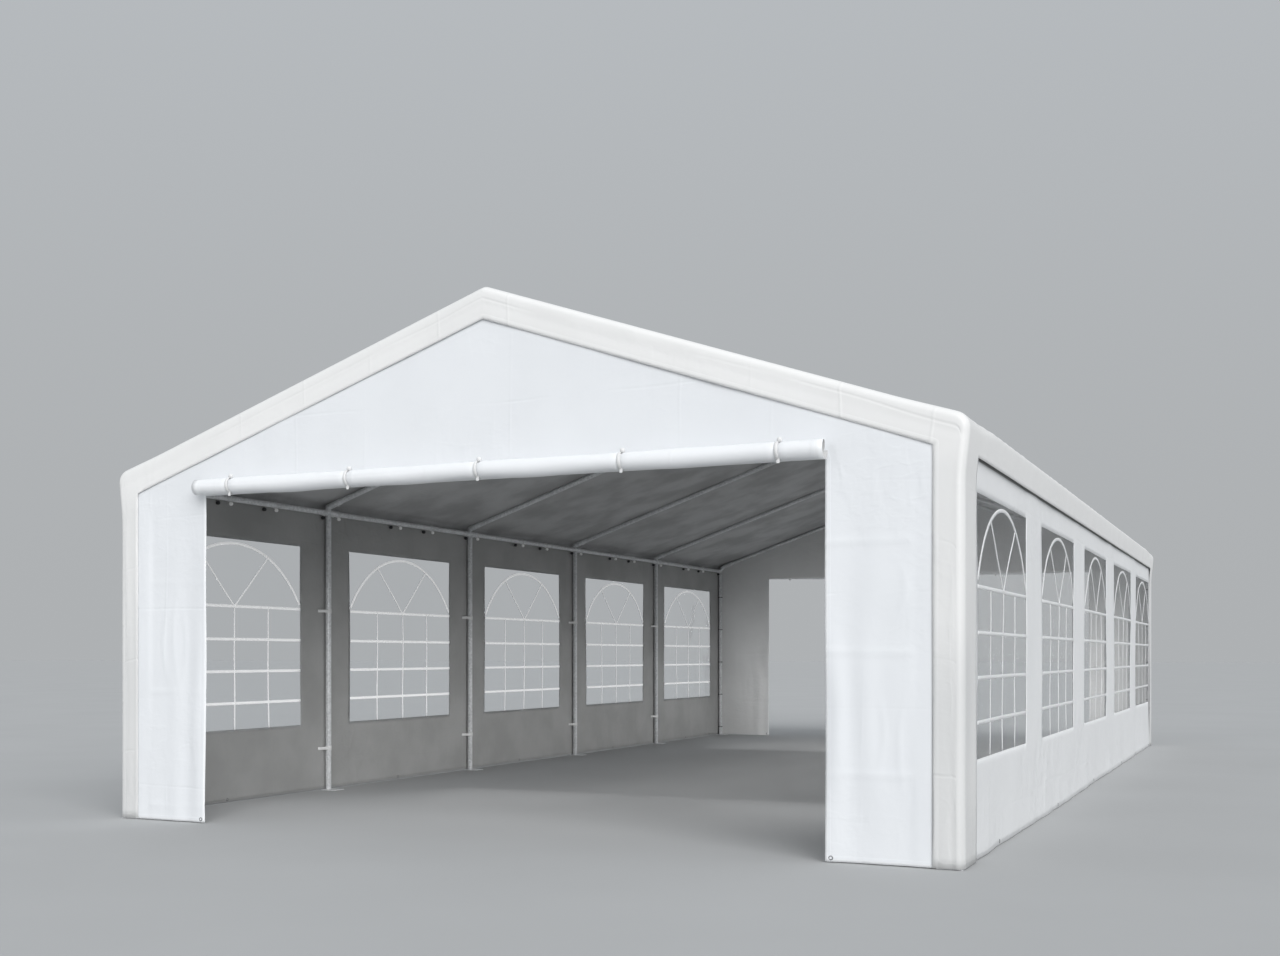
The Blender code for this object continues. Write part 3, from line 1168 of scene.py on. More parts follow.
        on_leaf = smooth_step(self.valance, self.valance + 0.3, drop) * max(on_side, on_gable)
        round_corner = place.x + place.y
        turns = round_corner / self.leg_wave + 0.5 * soft_noise(round_corner * 3, place.z * 0.9, 6)
        ripple = math.sin(2 * math.pi * turns) * (0.7 + 0.5 * soft_noise(place.z * 1.4, round_corner, 7))
        step += normal * ((self.leg_stands_off + self.leg_ripple * ripple) * on_leaf)
        return step

    def dust(self, place: Vector) -> float:
        """The share of dust and painted shade: the corner strips are painted greyer, most near the ground.
        """
        drop = self.layout.eave - place.z - self.valance
        patch = 0.85 + 0.3 * soft_noise(place.x * 5 + place.y * 5, place.z * 2.2, 8)
        amount = limit((0.35 + 0.65 * smooth_step(0.1, 1.5, drop)) * patch, 0, 1)
        return amount * smooth_step(-0.04, 0.08, drop)

    def both_ways(self, strip: float, marks: list[float], end: float) -> list[float]:
        """The stations of the cut along one of its directions.

        Args:
            strip: where the corner strips start.
            marks: the stations of the fold where the cloth turns down.
            end: where that turn ends.

        Returns:
            The stations, the same to both sides of the middle.
        """
        hems = sorted((self.side_drop, self.gable_drop))
        half = (stations(self.cell, 0.0, strip)
                + stations(self.strip_cell, strip, marks[0])
                + marks
                + stations(self.strip_cell, end, end + hems[0], end + hems[1])
                + stations(self.leaf_cell, end + hems[1], end + self.leaf_drop))
        return sorted({round(way * place, 6) for way in (-1, 1) for place in half})

    def build(self) -> bpy.types.Object:
        """Cuts, hangs and dresses the sheet.

        Returns:
            The piece.
        """
        layout = self.layout
        fold, soft = self.slope_length, layout.corner_turn
        tight = 1.125 * layout.eave_turn
        eave_marks = (stations(self.soft_turn_cell, fold - soft, fold - tight)
                      + stations(self.turn_cell, fold - tight, fold + tight)
                      + stations(self.soft_turn_cell, fold + tight, fold + soft))
        ts = self.both_ways(self.strip_t, eave_marks, self.eave_end)
        ts = sorted({*ts, *(way * self.ridge_turn * share for way in (-1, 1) for share in (0.5, 1.0))})
        rake_marks = stations(self.rake_cell, 2 * layout.out_y - self.rake_end, self.rake_end)
        vs = self.both_ways(layout.strip_y, rake_marks, self.rake_end)
        bm = cut_sheet(ts, vs, self.keep)
        area = lay_flat(bm, lambda t, v: (t, v))
        hang(bm, self.place)
        bmesh.ops.remove_doubles(bm, verts=bm.verts, dist=0.0005)
        bm.normal_update()
        measure_hems(bm)
        steps = [self.relief(vert.co, vert.normal) for vert in bm.verts]
        dust = bm.verts.layers.float.new("dust")
        for vert, step in zip(bm.verts, steps):
            vert.co += step
            vert[dust] = self.dust(vert.co)
        roof = finish_mesh("roof_sheet", bm, (ROOF_OUTSIDE, ROOF_INSIDE_SHADED))
        thicken(roof, self.thickness)
        strips = [f"corner_skirt_{end.word}_{side.word}" for end in End for side in Side]
        seat(roof, Slot.ROOF, "roof_cover", *strips)
        return roof


# The gables


@dataclass(frozen=True)
class Wrinkle:
    """One soft upright wrinkle in a gable sheet."""

    across: float
    height: float
    half_width: float = 0.012
    reach: float = 0.2
    depth: float = 0.003
    bow: float = 0.03

    def lift(self, x: float, z: float) -> float:
        """How far it stands out at a place across the tent and over the ground."""
        rise = (z - self.height) / self.reach
        off = (x - self.across - self.bow * rise * rise) / self.half_width
        return self.depth * math.exp(-off * off - rise * rise)


@dataclass
class GableSheet:
    """A gable sheet with its doorway cut out."""

    layout: Layout
    end: End
    column: float = 0.03
    jamb_column: float = 0.014
    row: float = 0.016
    head_rows: int = 24
    thickness: float = 0.001
    edge_gap: float = 0.016
    top_gap: float = 0.009
    head_rise: float = 0.014
    billow: float = 0.006
    drape: float = 0.006
    fine_relief: float = 0.0018
    pleat_turns: float = 34.0
    crease: float = 0.003
    crease_width: float = 0.013
    press: float = 0.0027
    left_creases: tuple[float, ...] = (1.415, 0.765, 0.096)
    right_creases: tuple[float, ...] = (1.52, 1.0, 0.42)
    wrinkles: tuple[Wrinkle, ...] = (
        Wrinkle(-2.20, 1.06, 0.013, 0.2, 0.0034, 0.03),
        Wrinkle(-2.12, 1.10, 0.010, 0.24, 0.0028, 0.024),
        Wrinkle(-2.03, 1.04, 0.014, 0.2, 0.0030, -0.02),
        Wrinkle(-1.97, 0.52, 0.012, 0.16, 0.0022, 0.02),
        Wrinkle(2.16, 0.62, 0.012, 0.16, 0.0030, -0.02),
        Wrinkle(2.23, 0.56, 0.010, 0.2, 0.0028, 0.02),
        Wrinkle(2.31, 0.66, 0.011, 0.15, 0.0026, 0.02),
        Wrinkle(2.26, 1.30, 0.014, 0.12, 0.0024, -0.03),
        Wrinkle(2.34, 1.27, 0.011, 0.14, 0.0022, 0.02),
    )

    def top(self, x: float) -> float:
        """The height of the sheet's upper edge at x, under the roof sheet and its turn at the eave."""
        layout = self.layout
        gap = layout.ridge - layout.gable_peak + self.top_gap
        radius, centre_x, centre_z = layout.eave_arc(layout.out_y)
        reach, beyond = radius - gap * math.cos(layout.slope), abs(x) - centre_x
        if beyond < reach * math.sin(layout.slope):
            return layout.ridge - gap - abs(x) * math.tan(layout.slope)
        return centre_z + math.sqrt(max(0.0, reach * reach - beyond * beyond))

    def pattern(self, u: float, v: float) -> Span:
        """The flat place of a station pair: over the door head, v counts shares of the way up."""
        head = self.layout.door_head + self.head_rise
        return u, v if v <= head else head + (v - head) * (self.top(u) - head)

    def relief(self, x: float, z: float) -> float:
        """How far the cloth stands out from its plane.

        Args:
            x: across the tent.
            z: over the ground.

        Returns:
            The distance outward, in metres.
        """
        layout = self.layout
        across, under = abs(x), self.top(x) - z
        seed = 11 if self.end is End.FRONT else 17
        broad = self.billow * soft_noise(x * 0.9, z * 1.1, seed)
        fine = self.fine_relief * soft_noise(x * 4.2, z * 2.6, seed + 1)
        low = smooth_step(layout.door_head, layout.door_head - 0.35, z)
        free = low * smooth_step(layout.door_half + 0.42, layout.door_half, across)
        phase = self.pleat_turns * (across - layout.door_half) + 2.4 * soft_noise(x * 2, z * 1.4, seed + 2)
        fold = self.drape * free * math.sin(phase) * (0.45 + 0.55 * smooth_step(1.9, 0.2, z))
        seen_x = x * -self.end.value
        wrinkle = low * sum(item.lift(seen_x, z) for item in self.wrinkles)
        creases = 0.0
        for height in self.left_creases if seen_x < 0 else self.right_creases:
            bend = height + 0.008 * soft_noise(x * 3, height, seed + 5)
            share = limit(0.7 + 0.5 * soft_noise(x * 2.5, height, seed + 6), 0.1, 1.0)
            creases += self.crease * low * share * math.exp(-((z - bend) / self.crease_width) ** 2)
        total = broad + fine + fold + wrinkle + creases
        outward = SNUG + smooth_step(0.12, 0.3, under) * smooth_step(0.02, -0.12, across - layout.strip_x)
        inward = SNUG + smooth_step(0.02, 0.12, under) * smooth_step(-0.02, -0.14, across - layout.post_x)
        hem = layout.eave - layout.valance_hem + layout.gable_peak - layout.ridge
        in_strip = across - layout.strip_x
        along_strip = smooth_step(-0.12, -0.01, in_strip) * smooth_step(0.075, 0.045, in_strip)
        pressed = self.press * smooth_step(hem, hem + 0.05, under) * along_strip
        held = smooth_step(0.0, 0.001, pressed)
        return limit(total, -inward, outward) * (1 - held) + pressed

    def build(self) -> bpy.types.Object:
        """Cuts, hangs and dresses the sheet.

        Returns:
            The piece.
        """
        layout, end = self.layout, self.end.value
        half = layout.gable_half - self.edge_gap
        us = (stations(self.jamb_column, -half, -layout.door_half)
              + stations(self.column, -layout.door_half, 0.0, layout.door_half)[1:-1]
              + stations(self.jamb_column, layout.door_half, half))
        head = layout.door_head + self.head_rise
        vs = stations(self.row, layout.ground, head)
        vs += [head + part / self.head_rows for part in range(1, self.head_rows + 1)]
        bm = cut_sheet(us, vs, lambda u, v: v > head or abs(u) > layout.door_half)
        area = lay_flat(bm, self.pattern)
        hang(bm, lambda x, z: (x, end * (layout.wall_y + self.relief(x, z)), z))
        sheet = make_sheet(f"gable_sheet_{self.end.word}", bm, (WALL_OUTSIDE, GABLE_INSIDE_SHADED),
                           self.thickness, self.end is End.REAR)
        seat(sheet, Slot.WALL, *(f"gable_{self.end.word}_{part}" for part in ("left", "right", "head")))
        return sheet


@dataclass
class DoorRoll:
    """A gable door, rolled up under the door head and held by cord ties."""

    layout: Layout
    end: End
    column: float = 0.034
    turns: float = 9.0
    faces_per_turn: int = 20
    core: float = 0.009
    thickness: float = 0.0008
    top_drop: float = 0.013
    fullness: float = 0.87
    pinch: float = 0.085
    end_taper: float = 0.06
    end_recess: float = 0.032
    tie_places: tuple[float, ...] = (-1.64, -0.82, 0.005, 0.835, 1.66)
    tie_groove: float = 0.0195
    groove_floor: float = 0.010
    groove_depth: float = 0.0046
    end_gap: float = 0.014
    tie_cord: float = 0.0042
    tie_width: float = 0.018
    tie_lean: float = 0.05
    tail: tuple[float, float, float] = (0.016, 0.004, 0.028)
    tail_drop: float = 0.002
    ball: float = 0.0135

    def __post_init__(self) -> None:
        """Reads the roll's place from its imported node."""
        low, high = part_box(f"door_roll_{self.end.word}")
        self.half = high.x - self.end_gap
        self.radius = (high.z - low.z) / 2
        self.middle_y = (low.y + high.y) / 2
        self.top_z = high.z - self.top_drop
        self.pitch = (self.radius - self.core) / self.turns

    def at_tie(self, x: float, reach: float, flat: float = 0.0) -> float:
        """1 as far as the flat stretch round a tie, falling to 0 at that reach from it."""
        return max(smooth_step(reach, flat, abs(x - tie)) for tie in self.tie_places)

    def middle(self, x: float) -> float:
        """The height of the roll's axis at x: its top is straight, and its underside waves."""
        size = self.radius * self.girth(x) + self.groove_depth * self.at_tie(
            x, self.tie_groove, self.groove_floor)
        return self.top_z - size * 1.02 + 0.0015 * soft_noise(x * 2.3, 0, 21)

    def girth(self, x: float) -> float:
        """The roll's scale at x: it is drawn in at the ties and swells between them."""
        swell = 0.035 * soft_noise(x * 2.7, 1, 22)
        drawn = 0.8 * self.at_tie(x, 0.36)
        groove = self.groove_depth / self.radius * self.at_tie(x, self.tie_groove, self.groove_floor)
        taper = self.end_taper * smooth_step(self.tie_places[0] - 0.02, -self.half, x)
        return self.fullness - self.pinch * drawn - groove - taper + swell

    def length_at(self, angle: float) -> float:
        """The cloth rolled up between the outer edge and that angle."""
        return self.radius * angle - self.pitch * angle * angle / (4 * math.pi)

    def place(self, x: float, angle: float) -> tuple[float, float, float]:
        """Where a point of the rolled cloth is.

        Args:
            x: across the tent.
            angle: wound from the outer edge, which lies against the gable.

        Returns:
            The place in space.
        """
        radius = (self.radius - self.pitch * angle / (2 * math.pi)) * self.girth(x)
        wobble = 1 + 0.035 * soft_noise(x * 4, angle * 0.9, 23) * (1 - self.at_tie(x, 0.12))
        turn = math.pi + angle + 0.2 * soft_noise(x * 0.8, 0, 24)
        out = radius * wobble * math.cos(turn) * 0.97
        up = radius * wobble * math.sin(turn) * 1.02
        near_end = smooth_step(self.half - 0.12, self.half, abs(x))
        recess = self.end_recess * near_end * smooth_step(math.pi, 3 * math.pi, angle)
        x_end = x - math.copysign(recess, x)
        return x_end, self.middle_y + self.end.value * out, self.middle(x) + up

    def build(self) -> bpy.types.Object:
        """Rolls up the door.

        Returns:
            The piece.
        """
        flank = (self.groove_floor + self.tie_groove) / 2
        grooves = [tie + way * off for tie in self.tie_places for way in (-1, 1)
                   for off in (self.groove_floor, flank, self.tie_groove)]
        xs = stations(self.column, -self.half, *self.tie_places, *grooves, self.half)
        count = round(self.turns * self.faces_per_turn)
        angles = [2 * math.pi * self.turns * part / count for part in range(count + 1)]
        bm = cut_sheet(xs, angles, lambda u, v: True)
        area = lay_flat(bm, lambda u, v: (u, self.length_at(v)))
        angle_at = {round(self.length_at(angle), 5): angle for angle in angles}
        hang(bm, lambda u, v: self.place(u, angle_at[round(v, 5)]))
        roll = make_sheet(f"rolled_door_{self.end.word}", bm, (ROLL_PAINTED_LIGHT, ROOF_INSIDE_SHADED),
                          self.thickness, self.end is End.REAR)
        seat(roll, Slot.WALL, f"door_roll_{self.end.word}")
        self.length_at(angles[-1])
        self.build_ties()
        return roll

    def build_ties(self) -> None:
        """Makes the cord ties round the roll, each with its ball and its short tail."""
        cords, balls = bmesh.new(), bmesh.new()
        for x in self.tie_places:
            middle = Vector((x, self.middle_y, self.middle(x)))
            radius = self.radius * self.girth(x) + self.tie_cord * 0.6
            flat = (1.02, 0.99, self.tie_width / (2 * self.tie_cord))
            lean = self.tie_lean * (1 + 0.3 * soft_noise(x * 5, 0, 25))
            add_ring(cords, middle, Vector((1, 0.04, lean)), radius, self.tie_cord, 36, 12, flat)
            top = middle + Vector((0.011, self.end.value * 0.012, radius + self.ball * 0.6))
            add_ball(balls, top, self.ball)
            under = middle - Vector((0, 0, radius + self.tail_drop))
            tail = under + Vector((lean * radius + 0.004, self.end.value * 0.02, 0))
            add_block(cords, tail, self.tail)
        seat(finish_mesh(f"door_ties_{self.end.word}", cords, (CORD_WHITE,)), Slot.CORD)
        seat(finish_mesh(f"door_tie_balls_{self.end.word}", balls, (BALL_WHITE,)), Slot.CORD)


# The side walls


@dataclass
class SideWall:
    """A side wall sheet with its windows: film and welded bars in each opening."""

    layout: Layout
    side: Side
    cell: float = 0.04
    thickness: float = 0.001
    end_gap: float = 0.02
    cover_gap: float = 0.0032
    shade_start: float = 0.002
    billow: float = 0.006
    hem_sway: float = 0.006
    fine_relief: float = 0.0014
    film_cell: float = 0.04
    top_draws_in: float = 0.004
    film_overlap: float = 0.015
    film_thickness: float = 0.0006
    film_ripple: float = 0.0025
    bar_width: float = 0.019
    thin_bar_width: float = 0.011
    bar_thickness: float = 0.0048
    bar_layers: tuple[float, float, float] = (0.0010, 0.0015, 0.0020)
    springing_drop: float = 0.448
    bar_drops: tuple[float, ...] = (0.448, 0.669, 0.885, 1.099)
    crown_drop: float = 0.018
    arch_foot_rise: float = 0.035

    def __post_init__(self) -> None:
        """Reads the windows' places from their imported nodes."""
        bays = len(self.layout.bents) - 1
        boxes = [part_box(f"window_{self.side.word}_{bay + 1}") for bay in range(bays)]
        self.windows = [(low.y, high.y) for low, high in boxes]
        self.sill, self.head = boxes[0][0].z, boxes[0][1].z

    def relief(self, y: float, z: float) -> float:
        """How far the wall stands out from its plane, at a place along it and over the ground."""
        layout = self.layout
        seed = 31 if self.side is Side.LEFT else 37
        from_bent = abs(layout.bay_share(y) - 0.5) * -2 + 1
        free = smooth_step(0.03, 0.35, from_bent)
        broad = self.billow * soft_noise(y * 0.8, z * 1.2, seed)
        fine = self.fine_relief * soft_noise(y * 3.7, z * 3.1, seed + 1)
        hem = self.hem_sway * soft_noise(y * 2.6, 0, seed + 2) * smooth_step(0.45, 0.0, z)
        drawn = self.top_draws_in * smooth_step(layout.valance_hem - 0.12, layout.valance_hem, z)
        total = (broad + hem - drawn) * free + fine
        outward = SNUG + smooth_step(0.02, -0.12, z - layout.valance_hem) * smooth_step(
            0.02, -0.12, abs(y) - layout.strip_y)
        inward = SNUG + smooth_step(0.05, 0.12, from_bent) * smooth_step(0.0, 0.15, layout.wall_top - z)
        radius, centre_x, centre_z = layout.eave_arc(y)
        above = max(0.0, z - centre_z)
        reach = math.sqrt((radius - self.cover_gap) ** 2 - above * above)
        lean = min(0.0, centre_x + reach - layout.wall_x)
        return limit(total, -inward, outward) + lean * smooth_step(-0.02, 0.01, z - centre_z)

    def film_relief(self, window: Span, y: float, z: float) -> float:
        """How far the film stands out from its plane: with the wall at its edges, rippled inside."""
        inside = min(y - window[0], window[1] - y, z - self.sill, self.head - z)
        loose = smooth_step(0.0, 0.18, inside)
        seed = 41 + window[0] * 3.7 * self.side.value
        ripple = soft_noise(y * 2.2, z * 3.4, seed) + 0.4 * soft_noise(y * 6.5, z * 4.5, seed + 1)
        return self.relief(y, z) + self.film_ripple * ripple * loose

    def in_window(self, y: float, z: float) -> bool:
        """Whether a place on the wall lies in a window opening."""
        return self.sill < z < self.head and any(low < y < high for low, high in self.windows)

    def film_place(self, window: Span, y: float, z: float, layer: float = 0.0) -> Vector:
        """Where a point of a window's film hangs.

        Args:
            window: where the window starts and ends along the wall.
            y: along the wall.
            z: over the ground.
            layer: how far out of the film's own face it lies.

        Returns:
            The place in space.
        """
        plane = self.layout.wall_x - self.thickness - BEHIND_WALL
        return Vector((self.side.value * (plane + layer + self.film_relief(window, y, z)), y, z))

    def build(self) -> bpy.types.Object:
        """Cuts, hangs and dresses the wall, its films and its bars.

        Returns:
            The wall's sheet.
        """
        layout, side = self.layout, self.side.value
        half = layout.wall_y - self.end_gap
        edges = [edge for window in self.windows for edge in window]
        ys = stations(self.cell, -half, *layout.bents[1:-1], *edges, half)
        zs = stations(self.cell, layout.ground, self.sill, self.head, layout.wall_top)
        bm = cut_sheet(ys, zs, lambda y, z: not self.in_window(y, z))
        area = lay_flat(bm, lambda y, z: (y, z))
        hang(bm, lambda y, z: (side * (layout.wall_x + self.relief(y, z)), y, z))
        outside = replace(SIDE_OUTSIDE, shaded_from=layout.side_hem - self.shade_start,
                          shaded_to=layout.strip_y + 0.02)
        wall = make_sheet(f"wall_sheet_{self.side.word}", bm, (outside, WALL_INSIDE_SHADED), self.thickness,
                          self.side is Side.LEFT)
        seat(wall, Slot.WALL, f"side_wall_{self.side.word}")
        for bay, window in enumerate(self.windows, start=1):
            self.build_film(bay, window)
            self.build_bars(bay, window)
        return wall

    def build_film(self, bay: int, window: Span) -> None:
        """Makes the film in one opening, lapped behind the wall's edge all round.

        Args:
            bay: its number from the front.
            window: where it starts and ends along the wall.
        """
        lap = self.film_overlap
        ys = stations(self.film_cell, window[0] - lap, *window, window[1] + lap)
        zs = stations(self.film_cell, self.sill - lap, self.sill, self.head, self.head + lap)
        bm = cut_sheet(ys, zs, lambda y, z: True)
        lay_flat(bm, lambda y, z: (y, z))
        hang(bm, lambda y, z: self.film_place(window, y, z))
        film = make_sheet(f"film_{self.side.word}_{bay}", bm, (FILM_CLEAR,), self.film_thickness,
                          self.side is Side.LEFT)
        seat(film, Slot.FILM, f"window_{self.side.word}_{bay}")

    def add_strip(self, bm: bmesh.types.BMesh, start: Span, finish: Span, width: float,
                  layer: float) -> None:
        """Adds one straight bar, flat.

        Args:
            bm: the mesh that gets it, with the wall's own coordinates as X and Y.
            start: one end of its middle line.
            finish: the other end.
            width: of the bar.
            layer: how far out it lies, kept as its Z until it is hung.
        """
        line = Vector(finish) - Vector(start)
        middle = (Vector(start) + Vector(finish)) / 2
        turn = Matrix.Rotation(math.atan2(line.y, line.x), 4, "Z")
        shape = Matrix.Diagonal((line.length, width, 1.0, 1.0))
        bmesh.ops.create_grid(
            bm, x_segments=max(2, math.ceil(line.length / self.film_cell)), y_segments=2, size=0.5,
            matrix=Matrix.Translation((*middle, layer)) @ turn @ shape)

    def add_arch(self, bm: bmesh.types.BMesh, window: Span, layer: float) -> Vector:
        """Adds the arched bar over the springing bar, flat.

        Args:
            bm: the mesh that gets it.
            window: where the window starts and ends along the wall.
            layer: how far out it lies.

        Returns:
            The arch's centre and radius, as X, Y and Z.
        """
        half = (window[1] - window[0]) / 2
        crown = self.head - self.crown_drop
        foot = self.head - self.springing_drop + self.arch_foot_rise
        rise = crown - foot
        radius = (half * half + rise * rise) / (2 * rise)
        centre = Vector(((window[0] + window[1]) / 2, crown - radius, layer))
        reach = math.asin(half / radius)
        across = [bm.verts.new(centre + Vector((
            math.sin(-reach) * (radius + part * self.bar_width),
            math.cos(reach) * (radius + part * self.bar_width), 0))) for part in (-1.0, -0.5, 0.0)]
        edges = [bm.edges.new(pair) for pair in zip(across, across[1:])]
        bmesh.ops.spin(bm, geom=across + edges, cent=centre, axis=(0, 0, -1), dvec=(0, 0, 0),
                       angle=2 * reach, steps=36, use_merge=False, use_duplicate=False)
        return Vector((centre.x, centre.y, radius))

    def build_bars(self, bay: int, window: Span) -> None:
        """Makes the white bars welded on one film.

        Args:
            bay: its number from the front.
            window: where it starts and ends along the wall.
        """
        bm = bmesh.new()
        centre = (window[0] + window[1]) / 2
        springing = self.head - self.springing_drop
        upright, level, curved = self.bar_layers
        for drop in self.bar_drops:
            z = self.head - drop
            self.add_strip(bm, (window[0], z), (window[1], z), self.bar_width, level)
        for share in (0.25, 0.5, 0.75):
            y = window[0] + (window[1] - window[0]) * share
            self.add_strip(bm, (y, self.sill), (y, springing), self.thin_bar_width, upright)
        arch = self.add_arch(bm, window, curved)
        for turn in (-1, 1):
            direction = Vector((math.sin(turn * math.pi / 4), math.cos(math.pi / 4)))
            reach = springing - arch.y
            along = -reach * direction.y + math.sqrt(
                (reach * direction.y) ** 2 + arch.z ** 2 - reach ** 2)
            finish = Vector((centre, springing)) + direction * along
            self.add_strip(bm, (centre, springing), tuple(finish), self.thin_bar_width, upright)
        bmesh.ops.recalc_face_normals(bm, faces=bm.faces)
        upward = -1 if self.side is Side.LEFT else 1
        turned = [face for face in bm.faces if face.normal.z * upward < 0]
        bmesh.ops.reverse_faces(bm, faces=turned)
        for vert in bm.verts:
            vert.co = self.film_place(window, *vert.co)
        bars = finish_mesh(f"window_bars_{self.side.word}_{bay}", bm, (BAR_WHITE, BAR_PAINTED_GLOW))
        thicken(bars, self.bar_thickness)
        seat(bars, Slot.WALL)


# The steel frame


@dataclass
class SteelFrame:
    """The tube frame: posts on foot plates, rafter pairs, and the eave and ridge rails."""

    layout: Layout
    post_radius: float = 0.021
    tube_radius: float = 0.019
    socket_radius: float = 0.022
    socket_reach: float = 0.12
    elbow_radius: float = 0.09
    stub_reach: float = 0.006
    sleeve_reach: float = 0.08
    plate_side: float = 0.12
    plate_thickness: float = 0.004
    plate_hole: float = 0.006
    plate_hole_offset: float = 0.036
    foot_weld: float = 0.003
    rafter_end_gap: float = 0.004
    rail_end_gap: float = 0.0005
    bolt_radius: float = 0.0065
    bolt_height: float = 0.005
    washer_radius: float = 0.00975
    washer_sunk: float = 0.003
    washer_height: float = 0.0015
    socket_bolt_reach: float = 0.09
    sleeve_bolt_reach: float = 0.055
    clip_heights: tuple[float, ...] = (1.305, 0.305)
    clip_thickness: float = 0.0025
    clip_half_height: float = 0.016
    clip_strap: Span = (0.0035, 0.021)
    clip_reach: Span = (0.006, 0.095)

    def sleeve_span(self, y: float) -> Span:
        """The stretch along Y of the rail sleeve at a bent, kept inside the gables."""
        outermost = self.layout.bents[-1] + self.socket_radius
        return max(y - self.sleeve_reach, -outermost), min(y + self.sleeve_reach, outermost)

    def bend_length(self, bent: int) -> float:
        """How far a bent elbow reaches from the corner of its axes: 0 at the inner bents."""
        if bent not in (1, len(self.layout.bents)):
            return 0.0
        return self.elbow_radius * math.tan((math.pi / 2 - self.layout.slope) / 2)

    def add_elbow(self, bm: bmesh.types.BMesh, start: Vector, sign: int) -> None:
        """Adds the bent elbow on a corner post.

        Args:
            bm: the mesh that gets it.
            start: where the bend starts, on the post's axis.
            sign: -1 on the left, 1 on the right.
        """
        old = set(bm.faces)
        section = bmesh.ops.create_circle(bm, cap_ends=True, segments=TUBE_SIDES,
                                          radius=self.socket_radius,
                                          matrix=Matrix.Translation(start))["verts"]
        centre = start - Vector((sign * self.elbow_radius, 0, 0))
        last = bmesh.ops.spin(
            bm, geom=section + edges_of(section), cent=centre, axis=(0, -sign, 0), dvec=(0, 0, 0),
            angle=math.pi / 2 - self.layout.slope, steps=12, use_merge=False, use_duplicate=False,
        )["geom_last"]
        rim = [item for item in last if isinstance(item, bmesh.types.BMEdge)]
        bmesh.ops.holes_fill(bm, edges=rim, sides=0)
        bmesh.ops.recalc_face_normals(bm, faces=[face for face in bm.faces if face not in old])

    def add_bolt(self, bm: bmesh.types.BMesh, place: Vector, out: Vector) -> None:
        """Adds a hexagon bolt head with its washer on a socket.

        Args:
            bm: the mesh that gets it.
            place: on the socket's surface.
            out: the direction it stands out in.
        """
        add_rod(bm, place - out * self.washer_sunk, place + out * self.washer_height,
                self.washer_radius, 16, 0.0005)
        add_rod(bm, place, place + out * self.bolt_height, self.bolt_radius, 6, 0.0008)

    def add_plate(self, bm: bmesh.types.BMesh, x: float, side: int, y: float) -> None:
        """Adds a foot plate with two peg holes.

        Args:
            bm: the mesh that gets it.
            x: of the post's axis.
            side: -1 on the left, 1 on the right.
            y: of the post's axis.
        """
        outermost = self.layout.bents[-1] + self.socket_radius
        edge = x + side * self.socket_radius
        middle_y = limit(y, -outermost + self.plate_side / 2, outermost - self.plate_side / 2)
        middle = Vector((edge - side * self.plate_side / 2, middle_y, 0))
        square = bmesh.ops.create_grid(bm, x_segments=1, y_segments=1, size=self.plate_side / 2,
                                       matrix=Matrix.Translation(middle))["verts"]
        outline = edges_of(square)
        bmesh.ops.delete(bm, geom=faces_of(square), context="FACES_ONLY")
        for offset in (-self.plate_hole_offset, self.plate_hole_offset):
            hole = middle + Vector((-side * self.plate_hole_offset, offset, 0))
            ring = bmesh.ops.create_circle(bm, cap_ends=False, segments=16, radius=self.plate_hole,
                                           matrix=Matrix.Translation(hole))["verts"]
            outline += edges_of(ring)
        made = bmesh.ops.triangle_fill(bm, use_beauty=True, use_dissolve=False, edges=outline,
                                       normal=(0, 0, 1))["geom"]
        faces = [item for item in made if isinstance(item, bmesh.types.BMFace)]
        drawn = bmesh.ops.extrude_face_region(bm, geom=faces, use_keep_orig=True)["geom"]
        moved = [item for item in drawn if isinstance(item, bmesh.types.BMVert)]
        bmesh.ops.translate(bm, verts=moved, vec=(0, 0, self.plate_thickness))
        bmesh.ops.recalc_face_normals(bm, faces=list({*faces_of(moved), *faces}))

    def build_post(self, side: Side, bent: int) -> bpy.types.Object:
        """Makes a post on its plate, with the sleeve and the socket on its head.

        Args:
            side: the long side it stands on.
            bent: its number from the front.

        Returns:
            The piece.
        """
        layout, sign, y = self.layout, side.value, self.layout.bents[bent - 1]
        x, bm = sign * layout.post_x, bmesh.new()
        head = Vector((x, y, layout.rafter_foot))
        up_slope = Vector((-sign * math.cos(layout.slope), 0, math.sin(layout.slope)))
        bend = self.bend_length(bent)
        top, foot = head - Vector((0, 0, bend)), head + up_slope * bend
        self.add_plate(bm, x, sign, y)
        add_rod(bm, Vector((x, y, 0.002)), top, self.post_radius)
        weld = self.foot_weld
        add_rod(bm, Vector((x, y, 0.003)), Vector((x, y, 0.008)), self.post_radius + weld, rim=0.0025)
        low, high = self.sleeve_span(y)
        if bend:
            low = max(low, layout.bents[0] - self.stub_reach)
            high = min(high, layout.bents[-1] + self.stub_reach)
            add_rod(bm, top - Vector((0, 0, self.sleeve_reach)), top, self.socket_radius)
            self.add_elbow(bm, top, sign)
        else:
            bmesh.ops.create_uvsphere(bm, u_segments=24, v_segments=16, radius=self.socket_radius,
                                      matrix=Matrix.Translation(head))
        add_rod(bm, Vector((x, low, layout.eave_rail)), Vector((x, high, layout.eave_rail)),
                self.socket_radius)
        add_rod(bm, foot, foot + up_slope * self.socket_reach, self.socket_radius)
        down = Vector((0, 0, -1))
        under = Vector((-math.sin(layout.slope) * sign, 0, -math.cos(layout.slope)))
        self.add_bolt(bm, foot + up_slope * self.socket_bolt_reach + under * self.socket_radius, under)
        for offset in (-self.sleeve_bolt_reach, self.sleeve_bolt_reach):
            if low < y + offset < high:
                spot = Vector((x, y + offset, layout.eave_rail - self.socket_radius))
                self.add_bolt(bm, spot, down)
